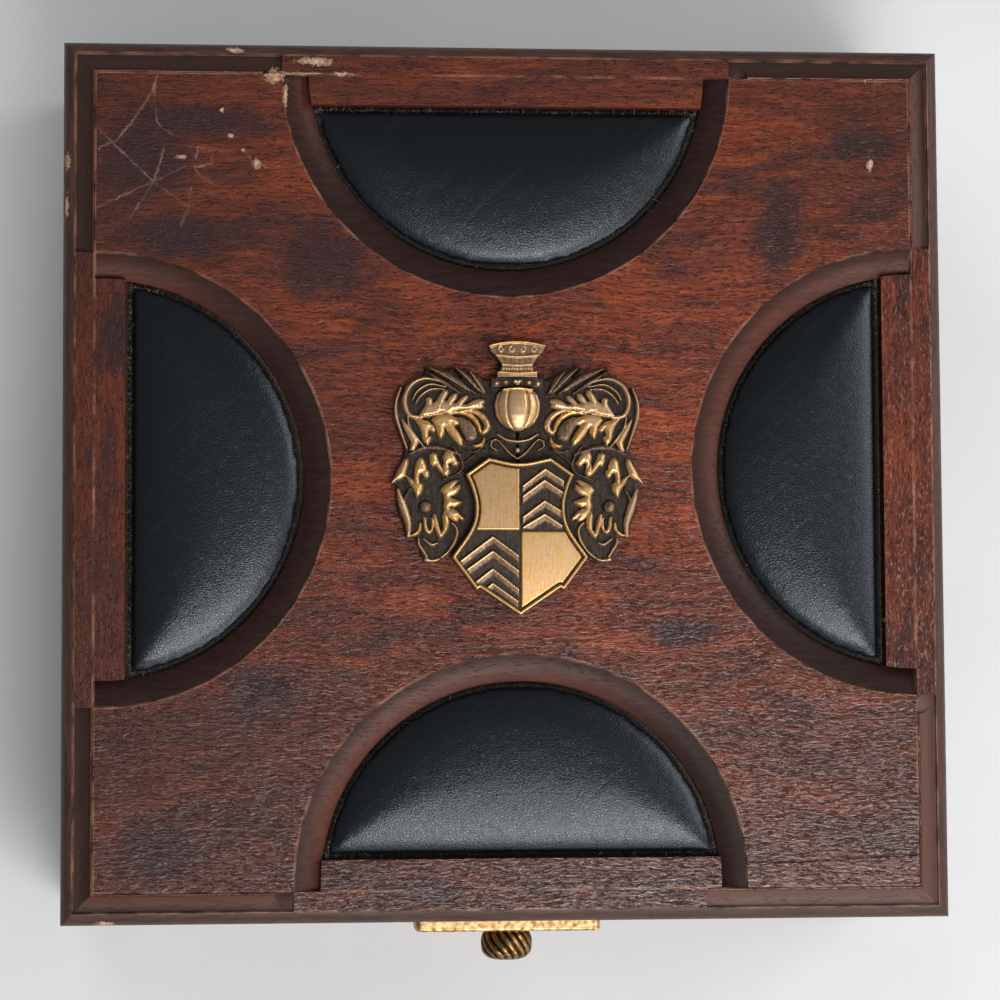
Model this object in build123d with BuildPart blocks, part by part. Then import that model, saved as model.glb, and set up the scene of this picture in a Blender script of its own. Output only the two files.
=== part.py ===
"""Valet box: a mitred wooden box with a lid that swings up on two butt hinges.

The lid carries a scalloped panel with four half-moon leather pads, a cast
heraldic mount in the middle and a knob on a backplate at the front.
Lengths are in millimetres. The origin is the middle of the underside,
+X is to the right, +Y to the hinged back and +Z up.
"""

import os
from math import atan2, cos, degrees, hypot, radians, sin, tan

from build123d import *

# Overall sizes of the closed box
box_width = 254.0
box_depth = 252.0
joint_height = 63.0
lid_height = 26.0

# Base
wall_thickness = 10.0
felt_thickness = 1.0
felt_inset = 3.0
board_thickness = 5.0
board_rebate = 5.0
lining_thickness = 2.0
lining_below_rim = 3.0
divider_thickness = 4.0
divider_height = 42.0
long_divider_y = 22.0
back_divider_x = 38.0
front_divider_x = 0.0

# Lid rails, measured inwards from the outer face and down from the top
lip_width = 3.6
lip_drop = 5.0
lip_step = 0.5
border_inset = 9.2
rail_ledge = 18.0
cove_depth = 1.8
cove_hollow = 0.35
bead_width = 1.0
bead_drop = 0.6
bead_rise = 0.35

# Lid panel and its four bites
panel_thickness = 6.0
bite_radius = 57.15
moulding_width = 7.6
moulding_step = 0.7
moulding_drop = 2.9
moulding_bulge = 0.55
backing_thickness = 4.0
lid_lining_thickness = 1.5

# Leather pads
pad_gap = 0.9
pad_board_thickness = 2.0
pad_crown = 5.8
pad_roundness = 1.2
pad_widest_share = 0.22
pad_foot_inset = 0.8
pad_cap_inset = 21.0

# Butt hinges
hinge_inset = 52.0
hinge_length = 38.0
knuckle_radius = 2.5
knuckle_count = 5
knuckle_gap = 0.2
leaf_width = 7.0
leaf_thickness = 1.2
leaf_gap = 0.1
pin_radius = 1.0
pin_clearance = 0.05
pin_head_radius = 1.6
pin_head_length = 0.8
bevel_angle = 48.0
pocket_clearance = 0.4
mortise_clearance = 0.1

# Hinge screws
screw_pitch = 12.0
screw_offset = 4.4
screw_radius = 1.0
screw_head_radius = 1.9
screw_length = 9.0
screw_point = 2.5
screw_clearance = 0.05

# Pull on the front of the lid
backplate_width = 53.0
backplate_height = 16.0
backplate_thickness = 3.1
backplate_corner = 0.8
knob_radius = 7.4
knob_length = 8.6
knob_lobes = 16
knob_twist = 50.0
knob_valley = 0.93
pull_screw_radius = 1.75
pull_screw_head_radius = 3.2
pull_screw_head_height = 1.8
pull_screw_head_clearance = 0.8
pull_screw_reach = 6.0

# Heraldic mount
mount_x = 2.4
mount_y = 0.0
mantling_height = 3.0
leaf_height = 1.6
leaf_ridge_share = 0.3
leaf_root = 0.6
shield_height = 5.2
shield_rim = 1.1
shield_rim_height = 0.8
chevron_width = 0.7
chevron_height = 0.5
chevron_pitch = 4.1
chevron_count = 4
chevron_x = 7.0
chevron_fall = 4.5
upper_chevron_y = 2.0
lower_chevron_y = -17.0
helm_y = 19.4
coronet_height = 5.4
stud_radius = 1.2
stud_length = 3.6
stud_clearance = 0.1
stud_spacing = 40.0

# How far a cutter runs past the face it opens
cut_margin = 1.0

# Heights and places that follow from the sizes above
lid_top = joint_height + lid_height
wall_foot = felt_thickness
board_top = wall_foot + board_thickness
floor_top = board_top + lining_thickness
lining_top = joint_height - lining_below_rim
panel_floor = lid_top - panel_thickness
backing_floor = panel_floor - backing_thickness
lid_lining_floor = backing_floor - lid_lining_thickness
half_width = box_width / 2
half_depth = box_depth / 2
inner_half_width = half_width - wall_thickness
inner_half_depth = half_depth - wall_thickness
hinge_y = half_depth - knuckle_radius
hinge_axis_point = (hinge_y, joint_height)
knuckle_pitch = hinge_length / knuckle_count
leaf_recess = leaf_thickness + leaf_gap / 2
hinge_places = {"left": hinge_inset - half_width, "right": half_width - hinge_inset}
pull_height = lid_lining_floor - pull_screw_head_clearance - pull_screw_head_radius

# Each side's frame stands at the middle of the outer face: x along the side,
# y inwards and z up
SIDES = {
    "front": Plane(origin=(0, -half_depth, 0), x_dir=(1, 0, 0), z_dir=(0, 0, 1)),
    "back": Plane(origin=(0, half_depth, 0), x_dir=(-1, 0, 0), z_dir=(0, 0, 1)),
    "left": Plane(origin=(-half_width, 0, 0), x_dir=(0, -1, 0), z_dir=(0, 0, 1)),
    "right": Plane(origin=(half_width, 0, 0), x_dir=(0, 1, 0), z_dir=(0, 0, 1)),
}
SIDE_LENGTHS = {"front": box_width, "back": box_width, "left": box_depth, "right": box_depth}

# Centre of each bite in its side's frame. The bites were routed by hand, a little off the middle
BITE_CENTRES = {"front": (3.4, 11.2), "back": (-0.2, 8.6), "left": (0.0, 11.6), "right": (2.6, 9.3)}

os.makedirs("parts", exist_ok=True)


def save(piece, name):
    """Label a finished piece and write it under its own name."""
    piece.part.label = name
    export_step(piece.part, f"parts/{name}.step")


def across(side, along):
    """Plane across a side at a distance along it: sketch x inwards, sketch y up."""
    plane = SIDES[side]
    return Plane(
        origin=plane.from_local_coords((along, 0, 0)),
        x_dir=plane.y_dir,
        z_dir=plane.x_dir,
    )


def cut_mitres(side):
    """Cut both ends of the open side at 45 degrees, from the outer corners inwards."""
    plane = SIDES[side]
    half_length = SIDE_LENGTHS[side] / 2
    for end in (-1, 1):
        corner = plane.from_local_coords((end * half_length, 0, 0))
        kept = plane.x_dir * -end + plane.y_dir * -1
        split(bisect_by=Plane(origin=corner, z_dir=kept), keep=Keep.TOP)


def cut_back_bevel():
    """Cut the V along the back joint, whose two faces meet when the lid is fully open."""
    reach = knuckle_radius + cut_margin
    rise = reach * tan(radians(bevel_angle))
    with BuildSketch(Plane.YZ) as notch:
        with BuildLine():
            Polyline(
                hinge_axis_point,
                (hinge_y + reach, joint_height + rise),
                (hinge_y + reach, joint_height - rise),
                close=True,
            )
        make_face()
    extrude(notch.sketch, amount=half_width + cut_margin, both=True, mode=Mode.SUBTRACT)


def rod_along_x(start, length, radius, mode=Mode.ADD):
    """Cylinder on the hinge axis from x = start."""
    with BuildSketch(Plane.YZ.offset(start)) as disc:
        with Locations(hinge_axis_point):
            Circle(radius)
    extrude(disc.sketch, amount=length, mode=mode)


def cut_hinge_pockets():
    """Cut a round pocket for each hinge's knuckles and pin heads."""
    pocket_length = hinge_length + 2 * (pin_head_length + pocket_clearance)
    for centre in hinge_places.values():
        rod_along_x(
            centre - pocket_length / 2,
            pocket_length,
            knuckle_radius + pocket_clearance,
            mode=Mode.SUBTRACT,
        )


def cut_leaf_mortises(upwards):
    """Cut the shallow mortise of each hinge leaf into the joint face of a back piece."""
    direction = 1 if upwards else -1
    for centre in hinge_places.values():
        with BuildSketch(Plane.XY.offset(joint_height)) as seat:
            with Locations((centre, hinge_y - (leaf_width + mortise_clearance) / 2)):
                Rectangle(hinge_length + 2 * mortise_clearance, leaf_width + mortise_clearance)
        extrude(seat.sketch, amount=direction * leaf_recess, mode=Mode.SUBTRACT)


def screw_body(clearance):
    """Countersunk wood screw with its head's face at the origin, pointing down."""
    head_radius = screw_head_radius + clearance
    shank_radius = screw_radius + clearance
    cone_depth = head_radius - shank_radius
    with BuildPart() as screw:
        with BuildSketch(Plane.XZ):
            with BuildLine():
                Polyline(
                    (0, 0),
                    (head_radius, 0),
                    (shank_radius, -cone_depth),
                    (shank_radius, -(screw_length - screw_point)),
                    (0, -screw_length - clearance),
                    close=True,
                )
            make_face()
        revolve(axis=Axis.Z)
    return screw.part


def screw_places(upwards):
    """Place of each hinge screw, three in a row on each leaf."""
    face = joint_height + (leaf_gap / 2 if upwards else -leaf_gap / 2)
    turn = (180, 0, 0) if upwards else (0, 0, 0)
    return [
        Location((centre + step * screw_pitch, hinge_y - screw_offset, face), turn)
        for centre in hinge_places.values()
        for step in (-1, 0, 1)
    ]


screw = screw_body(0.0)
screw_space = screw_body(screw_clearance)


def base_wall(side):
    """Mitred side of the base, rebated for the bottom board."""
    with BuildPart() as wall:
        with BuildSketch(across(side, -SIDE_LENGTHS[side] / 2)):
            with BuildLine():
                Polyline(
                    (0, wall_foot),
                    (wall_thickness - board_rebate, wall_foot),
                    (wall_thickness - board_rebate, board_top),
                    (wall_thickness, board_top),
                    (wall_thickness, joint_height),
                    (0, joint_height),
                    close=True,
                )
            make_face()
        extrude(amount=SIDE_LENGTHS[side])
        cut_mitres(side)
        if side != "front":
            cut_back_bevel()
        if side == "back":
            cut_hinge_pockets()
            cut_leaf_mortises(upwards=False)
            with Locations(*screw_places(upwards=False)):
                add(screw_space, mode=Mode.SUBTRACT)
    save(wall, f"{side}_wall")


def slab(name, x_range, y_range, z_range):
    """Plain sheet or strip between the given limits."""
    with BuildPart() as sheet:
        with BuildSketch(Plane.XY.offset(z_range[0])):
            with Locations(((x_range[0] + x_range[1]) / 2, (y_range[0] + y_range[1]) / 2)):
                Rectangle(x_range[1] - x_range[0], y_range[1] - y_range[0])
        extrude(amount=z_range[1] - z_range[0])
    save(sheet, name)


def base_boards_and_linings():
    """Bottom board, felt, linings and dividers of the base."""
    board_half_width = inner_half_width + board_rebate
    board_half_depth = inner_half_depth + board_rebate
    felt_half_width = half_width - felt_inset
    felt_half_depth = half_depth - felt_inset
    lined_half_width = inner_half_width - lining_thickness
    lined_half_depth = inner_half_depth - lining_thickness
    full_x = (-inner_half_width, inner_half_width)
    lined_x = (-lined_half_width, lined_half_width)
    lined_y = (-lined_half_depth, lined_half_depth)
    lining_z = (board_top, lining_top)
    divider_z = (floor_top, floor_top + divider_height)
    half_divider = divider_thickness / 2
    long_y = (long_divider_y - half_divider, long_divider_y + half_divider)

    slab(
        "base_board",
        (-board_half_width, board_half_width),
        (-board_half_depth, board_half_depth),
        (wall_foot, board_top),
    )
    slab(
        "base_felt",
        (-felt_half_width, felt_half_width),
        (-felt_half_depth, felt_half_depth),
        (0, felt_thickness),
    )
    slab("floor_lining", lined_x, lined_y, (board_top, floor_top))
    slab("front_lining", full_x, (-inner_half_depth, -lined_half_depth), lining_z)
    slab("back_lining", full_x, (lined_half_depth, inner_half_depth), lining_z)
    slab("left_lining", (-inner_half_width, -lined_half_width), lined_y, lining_z)
    slab("right_lining", (lined_half_width, inner_half_width), lined_y, lining_z)
    slab("long_divider", lined_x, long_y, divider_z)
    for name, place, y_range in (
        ("back_left_divider", -back_divider_x, (long_y[1], lined_half_depth)),
        ("back_right_divider", back_divider_x, (long_y[1], lined_half_depth)),
        ("front_divider", front_divider_x, (-lined_half_depth, long_y[0])),
    ):
        slab(name, (place - half_divider, place + half_divider), y_range, divider_z)


def hinge_leaf(name, centre, upwards):
    """One leaf of a butt hinge with its share of the knuckles."""
    own = range(1, knuckle_count, 2) if upwards else range(0, knuckle_count, 2)
    start = centre - hinge_length / 2
    plate_face = joint_height + (leaf_gap / 2 if upwards else -leaf_gap / 2)
    with BuildPart() as leaf:
        with BuildSketch(Plane.XY.offset(plate_face)):
            with Locations((centre, hinge_y - leaf_width / 2)):
                Rectangle(hinge_length, leaf_width)
        extrude(amount=leaf_thickness if upwards else -leaf_thickness)
        for index in range(knuckle_count):
            if index not in own:
                rod_along_x(
                    start + index * knuckle_pitch - knuckle_gap / 2,
                    knuckle_pitch + knuckle_gap,
                    knuckle_radius + knuckle_gap,
                    mode=Mode.SUBTRACT,
                )
        for index in own:
            first = start if index == 0 else start + index * knuckle_pitch + knuckle_gap / 2
            last = start + (index + 1) * knuckle_pitch
            if index < knuckle_count - 1:
                last -= knuckle_gap / 2
            rod_along_x(first, last - first, knuckle_radius)
        rod_along_x(start, hinge_length, pin_radius + pin_clearance, mode=Mode.SUBTRACT)
        with Locations(*screw_places(upwards)):
            add(screw_space, mode=Mode.SUBTRACT)
    save(leaf, name)


def hinge_pin(name, centre):
    """Hinge pin with a domed head at each end."""
    reach = hinge_length / 2 + pin_clearance
    with BuildPart() as pin:
        rod_along_x(centre - reach, 2 * reach, pin_radius)
        rod_along_x(centre - reach - pin_head_length, pin_head_length, pin_head_radius)
        rod_along_x(centre + reach, pin_head_length, pin_head_radius)
        ends = pin.faces().sort_by(Axis.X)
        fillet([ends[0].edges()[0], ends[-1].edges()[0]], pin_head_length / 2)
    save(pin, name)


def hinge_screws(name, upwards):
    """All screws of the upper or lower leaves, as separate solids."""
    with BuildPart() as group:
        with Locations(*screw_places(upwards)):
            add(screw)
    save(group, name)


def bite_centre(side):
    """Centre of a side's half-round bite."""
    point = SIDES[side].from_local_coords((*BITE_CENTRES[side], 0))
    return (point.X, point.Y)


def panel_blank(thickness):
    """Square panel with its four round bites, on the open part's panel floor."""
    with BuildSketch(Plane.XY.offset(panel_floor)) as outline:
        Rectangle(box_width - 2 * border_inset, box_depth - 2 * border_inset)
        for side in SIDES:
            with Locations(bite_centre(side)):
                Circle(bite_radius, mode=Mode.SUBTRACT)
    return extrude(outline.sketch, amount=thickness, mode=Mode.PRIVATE)


def bulge_point(start, end, bulge):
    """Point beside the middle of a chord, on the left of the way from start to end."""
    length = hypot(end[0] - start[0], end[1] - start[1])
    across_x = -(end[1] - start[1]) / length
    across_y = (end[0] - start[0]) / length
    return (
        (start[0] + end[0]) / 2 + across_x * bulge,
        (start[1] + end[1]) / 2 + across_y * bulge,
    )


def cove_section():
    """Cutter section of the stopped cove and bead between the lip and the panel's border."""
    clear = lid_top + cut_margin
    bead_foot = lid_top - bead_drop
    cove_low = (lip_width, lid_top - cove_depth)
    bead_start = (border_inset - bead_width, bead_foot)
    bead_end = (border_inset, bead_foot)
    Polyline(bead_end, (border_inset, clear), (lip_width, clear), cove_low)
    ThreePointArc(cove_low, bulge_point(cove_low, bead_start, -cove_hollow), bead_start)
    ThreePointArc(bead_start, bulge_point(bead_start, bead_end, bead_rise), bead_end)


def lid_rail(side):
    """Moulded lid rail: lip, stopped coves, rebate for the panel and a full-height strip."""
    plane = SIDES[side]
    half_length = SIDE_LENGTHS[side] / 2
    blank = panel_blank(panel_thickness + cut_margin)
    with BuildPart() as rail:
        with BuildSketch(across(side, -half_length)):
            with BuildLine():
                Polyline(
                    (0, lid_top - lip_drop),
                    (0, joint_height),
                    (wall_thickness, joint_height),
                    (wall_thickness, panel_floor),
                    (rail_ledge, panel_floor),
                    (rail_ledge, lid_top),
                    (lip_width, lid_top),
                    (lip_width, lid_top - lip_step),
                )
                EllipticalCenterArc(
                    (lip_width, lid_top - lip_drop),
                    lip_width,
                    lip_drop - lip_step,
                    start_angle=90,
                    arc_size=90,
                )
            make_face()
        extrude(amount=2 * half_length)
        add(blank, mode=Mode.SUBTRACT)
        for end in (-1, 1):
            run_out = BITE_CENTRES[side][0] + end * (bite_radius + moulding_width)
            with BuildSketch(across(side, run_out)) as cutter:
                with BuildLine():
                    cove_section()
                make_face()
            extrude(cutter.sketch, amount=end * half_length, mode=Mode.SUBTRACT)
            pivot = plane.from_local_coords((run_out, border_inset, 0))
            revolve(
                cutter.sketch,
                axis=Axis(pivot, (0, 0, end)),
                revolution_arc=90,
                mode=Mode.SUBTRACT,
            )
        cut_mitres(side)
        if side != "front":
            cut_back_bevel()
        if side == "back":
            cut_hinge_pockets()
            cut_leaf_mortises(upwards=True)
            with Locations(*screw_places(upwards=True)):
                add(screw_space, mode=Mode.SUBTRACT)
        if side == "front":
            with BuildSketch(Plane.XZ.offset(half_depth + cut_margin)):
                with Locations((0, pull_height)):
                    Circle(pull_screw_radius + screw_clearance)
            extrude(amount=-(wall_thickness + 2 * cut_margin), mode=Mode.SUBTRACT)
    save(rail, f"lid_{side}_rail")


def moulding_section():
    """Cutter section round a bite: a small step, then a curve that falls towards the bite."""
    clear = lid_top + cut_margin
    overlap = bite_radius - cut_margin
    step_foot = (bite_radius + moulding_width, lid_top - moulding_step)
    brink = (bite_radius, lid_top - moulding_drop)
    Polyline(
        brink,
        (overlap, brink[1]),
        (overlap, clear),
        (step_foot[0], clear),
        step_foot,
    )
    ThreePointArc(step_foot, bulge_point(step_foot, brink, -moulding_bulge), brink)


def stud_places():
    """Places of the heraldic mount's two studs."""
    return [(mount_x, mount_y - stud_spacing / 2), (mount_x, mount_y + stud_spacing / 2)]


def lid_panel():
    """Scalloped panel with the moulded edge round each bite."""
    blank = panel_blank(panel_thickness)
    with BuildPart() as panel:
        add(blank)
        for side in SIDES:
            centre = bite_centre(side)
            with BuildSketch(Plane(origin=(*centre, 0), x_dir=(1, 0, 0), z_dir=(0, -1, 0))):
                with BuildLine():
                    moulding_section()
                make_face()
            revolve(axis=Axis((*centre, 0), (0, 0, 1)), mode=Mode.SUBTRACT)
        with BuildSketch(Plane.XY.offset(lid_top)):
            with Locations(*stud_places()):
                Circle(stud_radius + stud_clearance)
        extrude(amount=-(stud_length + stud_clearance), mode=Mode.SUBTRACT)
    save(panel, "lid_panel")


def half_moon(side, height, inset):
    """Half-moon in the recess of a side, at a height and drawn in by an inset."""
    along, depth = BITE_CENTRES[side]
    radius = bite_radius - inset
    straight = rail_ledge + inset
    half_chord = (radius**2 - (straight - depth) ** 2) ** 0.5
    with BuildSketch(SIDES[side].offset(height)) as outline:
        with BuildLine():
            Line((along - half_chord, straight), (along + half_chord, straight))
            ThreePointArc(
                (along + half_chord, straight),
                (along, depth + radius),
                (along - half_chord, straight),
            )
        make_face()
    return outline.sketch


def lid_pad(side):
    """Leather pad and its board: crowned top, drawn-in sides."""
    foot = panel_floor + pad_board_thickness
    with BuildPart() as board:
        extrude(half_moon(side, panel_floor, pad_gap), amount=pad_board_thickness)
    save(board, f"pad_{side}_board")
    levels = [(0, pad_foot_inset)]
    for angle in PAD_ANGLES:
        rise = sin(radians(angle))
        drawn_in = 1 - cos(radians(angle)) ** pad_roundness
        levels.append((pad_widest_share + (1 - pad_widest_share) * rise, pad_cap_inset * drawn_in))
    with BuildPart() as pad:
        loft(
            [half_moon(side, foot + share * pad_crown, pad_gap + inset) for share, inset in levels],
            ruled=True,
        )
    save(pad, f"pad_{side}")


def pull_backplate():
    """Flat cast backplate on the lid's front, with rounded corners."""
    with BuildPart() as plate:
        with BuildSketch(Plane.XZ.offset(half_depth)):
            with Locations((0, pull_height)):
                RectangleRounded(backplate_width, backplate_height, 2 * backplate_corner)
                Circle(pull_screw_radius + screw_clearance, mode=Mode.SUBTRACT)
        extrude(amount=backplate_thickness)
        front = plate.faces().sort_by(Axis.Y)[0]
        fillet(front.outer_wire().edges(), backplate_corner)
    save(plate, "pull_backplate")


def on_circle(radius, angle):
    """Point of a circle round the knob's axis."""
    return (radius * cos(radians(angle)), pull_height + radius * sin(radians(angle)))


def knob_ring(share, size):
    """Section of the knob at a share of its length: a ring of gadroons, turned as it goes out."""
    crest = size * knob_radius
    valley = crest * knob_valley
    step = 360 / knob_lobes
    height = half_depth + backplate_thickness + share * knob_length
    with BuildSketch(Plane.XZ.offset(height)) as ring:
        with BuildLine():
            for lobe in range(knob_lobes):
                start = share * knob_twist + lobe * step
                ThreePointArc(
                    on_circle(valley, start),
                    on_circle(crest, start + step / 2),
                    on_circle(valley, start + step),
                )
        make_face()
    return ring.sketch


def pull_knob():
    """Squat knob whose gadroons swirl round its axis, with a blind bore for the screw."""
    with BuildPart() as knob:
        loft([knob_ring(share, size) for share, size in KNOB_RINGS])
        with BuildSketch(Plane.XZ.offset(half_depth + backplate_thickness)):
            with Locations((0, pull_height)):
                Circle(pull_screw_radius + screw_clearance)
        extrude(amount=pull_screw_reach + screw_clearance, mode=Mode.SUBTRACT)
    save(knob, "pull_knob")


def pull_screw():
    """Machine screw from inside the front rail into the knob."""
    inside = half_depth - wall_thickness
    with BuildPart() as bolt:
        with BuildSketch(Plane.XZ.offset(inside - pull_screw_head_height)):
            with Locations((0, pull_height)):
                Circle(pull_screw_head_radius)
        extrude(amount=pull_screw_head_height)
        fillet(bolt.edges().group_by(Axis.Y)[-1], pull_screw_head_height / 2)
        with BuildSketch(Plane.XZ.offset(inside)):
            with Locations((0, pull_height)):
                Circle(pull_screw_radius)
        extrude(amount=wall_thickness + backplate_thickness + pull_screw_reach)
    save(bolt, "pull_screw")


# Steps of a leather pad's section from its widest level to the flat of its crown, in degrees
PAD_ANGLES = (0, 12, 24, 36, 48, 60, 70, 78, 84, 90)

# Knob from the backplate outwards: share of the length, share of the radius
KNOB_RINGS = ((0.0, 0.80), (0.12, 0.93), (0.38, 1.0), (0.68, 0.97), (0.88, 0.82), (1.0, 0.58))

# Right half of the mantling's outline from the coronet down to the shield,
# measured from the mount's own axis
MANTLING = (
    (6.5, 29.0), (8.9, 28.5), (10.1, 29.3), (11.8, 29.6), (14.1, 31.3), (16.0, 29.3), (18.5, 32.3),
    (20.1, 30.7), (24.1, 30.7), (26.3, 32.3), (26.7, 29.9), (29.9, 28.5), (32.4, 26.4), (34.0, 23.2),
    (35.0, 19.1), (34.7, 15.0), (33.5, 11.5), (32.4, 8.5), (33.0, 5.6), (34.8, 2.7), (36.2, -1.2),
    (34.7, -2.4), (34.9, -5.5), (34.2, -9.6), (32.8, -13.1), (31.8, -17.0), (29.1, -17.1),
    (28.4, -18.6), (27.9, -21.4), (26.5, -23.7), (23.4, -24.0), (20.1, -22.2), (17.2, -23.1),
    (6.5, -23.1),
)

# Right half of the shield's outline from the dip in its top edge to its tip
SHIELD = (
    (0.0, 4.2), (8.9, 5.8), (15.6, 1.0), (14.0, -2.6), (12.8, -8.2), (14.0, -14.3),
    (19.6, -22.6), (12.5, -32.1), (11.5, -31.4), (0.0, -39.2),
)

# Right half of the coronet's outline
CORONET = (
    (0.0, 39.4), (4.1, 39.1), (8.3, 38.1), (7.7, 36.2), (6.5, 35.2), (4.5, 32.5), (4.9, 31.0),
    (5.9, 30.3), (5.9, 28.5), (0.0, 28.5),
)

# Right half of the helm's outline, measured from its own middle
HELM = ((0.0, 6.4), (5.0, 6.2), (6.8, 2.0), (6.2, -2.6), (3.4, -6.4), (0.0, -6.6))

# Leaves of the mantling: root, tip, half width
LEAVES = (
    ((23.0, 11.0), (11.5, 19.5), 2.4), ((24.5, 13.0), (15.5, 24.0), 2.6), ((26.5, 13.5), (20.5, 26.0), 2.4),
    ((24.0, 10.0), (30.0, 8.0), 2.2), ((22.5, 9.0), (20.5, 7.5), 2.0), ((17.5, 18.0), (9.5, 12.5), 2.2),
    ((20.0, 27.0), (26.0, 31.2), 1.6), ((15.0, 25.5), (19.0, 31.0), 1.5), ((11.5, 24.0), (14.0, 30.2), 1.5),
    ((27.0, 6.0), (31.5, -3.0), 1.9), ((24.0, 4.0), (24.5, -4.0), 1.8), ((20.5, 5.0), (18.0, 0.5), 1.7),
    ((26.0, -9.0), (17.5, -4.5), 1.8), ((26.0, -9.5), (16.5, -10.5), 1.7),
    ((27.0, -11.0), (26.5, -17.5), 1.8), ((28.5, -10.5), (32.0, -15.0), 1.6),
    ((24.0, -13.0), (19.0, -14.5), 1.5),
)


def mirrored(half):
    """Closed outline from its right half, from the middle out and back to the middle."""
    left = [(-x, y) for x, y in reversed(half) if x > 0]
    return list(half) + left


def outline_face(points):
    """Flat face inside a mirrored outline, centred on the mount's axis."""
    with BuildSketch() as face:
        with BuildLine():
            Polyline(*mirrored(points), close=True)
        make_face()
    return face.sketch


def shield_field():
    """The shield's face inside its rim."""
    with BuildSketch() as field:
        add(outline_face(SHIELD))
        offset(amount=-shield_rim, kind=Kind.INTERSECTION, mode=Mode.REPLACE)
    return field.sketch


def chevron_bands(field):
    """Four chevrons in the upper right and the lower left quarter of the field."""
    with BuildSketch() as bands:
        for middle, first in ((chevron_x, upper_chevron_y), (-chevron_x, lower_chevron_y)):
            for step in range(chevron_count):
                peak = first - step * chevron_pitch
                foot = peak - chevron_fall
                with BuildLine():
                    Polyline(
                        (middle - chevron_x, foot),
                        (middle, peak),
                        (middle + chevron_x, foot),
                        (middle + chevron_x, foot - chevron_width),
                        (middle, peak - chevron_width),
                        (middle - chevron_x, foot - chevron_width),
                        close=True,
                    )
                make_face()
        add(field, mode=Mode.INTERSECT)
    return bands.sketch


def raise_face(face, foot, height):
    """Raise a flat face of the mount from a height above the lid's top."""
    with BuildSketch(Plane.XY.offset(lid_top + foot)) as placed:
        with Locations((mount_x, mount_y)):
            add(face)
    extrude(placed.sketch, amount=height)


def lens(place, half_length, lens_half_width):
    """Lens-shaped face, pointed at both ends, lengthwise along x."""
    with BuildSketch(Plane(place)) as face:
        with BuildLine():
            ThreePointArc((-half_length, 0), (0, lens_half_width), (half_length, 0))
            ThreePointArc((half_length, 0), (0, -lens_half_width), (-half_length, 0))
        make_face()
    return face.sketch


def raise_leaf(root, tip, leaf_half_width):
    """One lens-shaped leaf of the mantling and its mirror image, as low ridges."""
    along = Vector(*tip) - Vector(*root)
    middle = (Vector(*tip) + Vector(*root)) * 0.5
    half_length = along.length / 2
    foot = lid_top + mantling_height - leaf_root
    ridge = lid_top + mantling_height + leaf_height
    for side in (1, -1):
        angle = degrees(atan2(along.Y, side * along.X))
        where = (mount_x + side * middle.X, mount_y + middle.Y)
        loft(
            [
                lens(Location((*where, foot), (0, 0, angle)), half_length, leaf_half_width),
                lens(
                    Location((*where, ridge), (0, 0, angle)),
                    half_length - leaf_half_width * (1 - leaf_ridge_share),
                    leaf_half_width * leaf_ridge_share,
                ),
            ],
            ruled=True,
        )


def heraldic_mount():
    """Cast mount: mantling plate with leaves, quartered shield, helm, coronet and two studs."""
    shield = outline_face(SHIELD)
    field = shield_field()
    bands = chevron_bands(field)
    with BuildPart() as mount:
        raise_face(outline_face(MANTLING), 0, mantling_height)
        raise_face(shield, 0, shield_height)
        with BuildSketch(Plane.XY.offset(lid_top + shield_height)):
            with Locations((mount_x, mount_y)):
                add(shield)
                add(field, mode=Mode.SUBTRACT)
        extrude(amount=shield_rim_height)
        raise_face(bands, shield_height, chevron_height)
        raise_face(outline_face(CORONET), 0, coronet_height)
        for root, tip, leaf_half_width in LEAVES:
            raise_leaf(root, tip, leaf_half_width)
        with BuildSketch(Plane.XY.offset(lid_top)):
            with Locations((mount_x, mount_y + helm_y)):
                add(outline_face(HELM))
            split(bisect_by=Plane((mount_x, 0, 0), z_dir=(1, 0, 0)))
        revolve(axis=Axis((mount_x, 0, lid_top), (0, 1, 0)), revolution_arc=-180)
        with BuildSketch(Plane.XY.offset(lid_top)):
            with Locations(*stud_places()):
                Circle(stud_radius)
        extrude(amount=-stud_length)
    save(mount, "heraldic_mount")


for name_of_side in SIDES:
    base_wall(name_of_side)
    lid_rail(name_of_side)
    lid_pad(name_of_side)
base_boards_and_linings()
for place_name, hinge_x in hinge_places.items():
    hinge_leaf(f"hinge_{place_name}_base_leaf", hinge_x, upwards=False)
    hinge_leaf(f"hinge_{place_name}_lid_leaf", hinge_x, upwards=True)
    hinge_pin(f"hinge_{place_name}_pin", hinge_x)
hinge_screws("base_hinge_screws", upwards=False)
hinge_screws("lid_hinge_screws", upwards=True)
lid_panel()
slab(
    "lid_backing_board",
    (-inner_half_width, inner_half_width),
    (-inner_half_depth, inner_half_depth),
    (backing_floor, panel_floor),
)
slab(
    "lid_lining",
    (-inner_half_width, inner_half_width),
    (-inner_half_depth, inner_half_depth),
    (lid_lining_floor, backing_floor),
)
pull_backplate()
pull_knob()
pull_screw()
heraldic_mount()
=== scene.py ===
# %% [markdown]
# # A valet box with half-moon leather pads
#
# This lesson dresses a finished CAD model of a wooden valet box: the wood gets its grain, the
# pads become stretched leather, and the cast ornament on the lid is built as a relief. The CAD
# model gives every place and size, so nothing here has to be fitted by eye. Lengths are in
# metres, +X is to the right, +Y to the hinged back and +Z up.

from functools import partial

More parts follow.
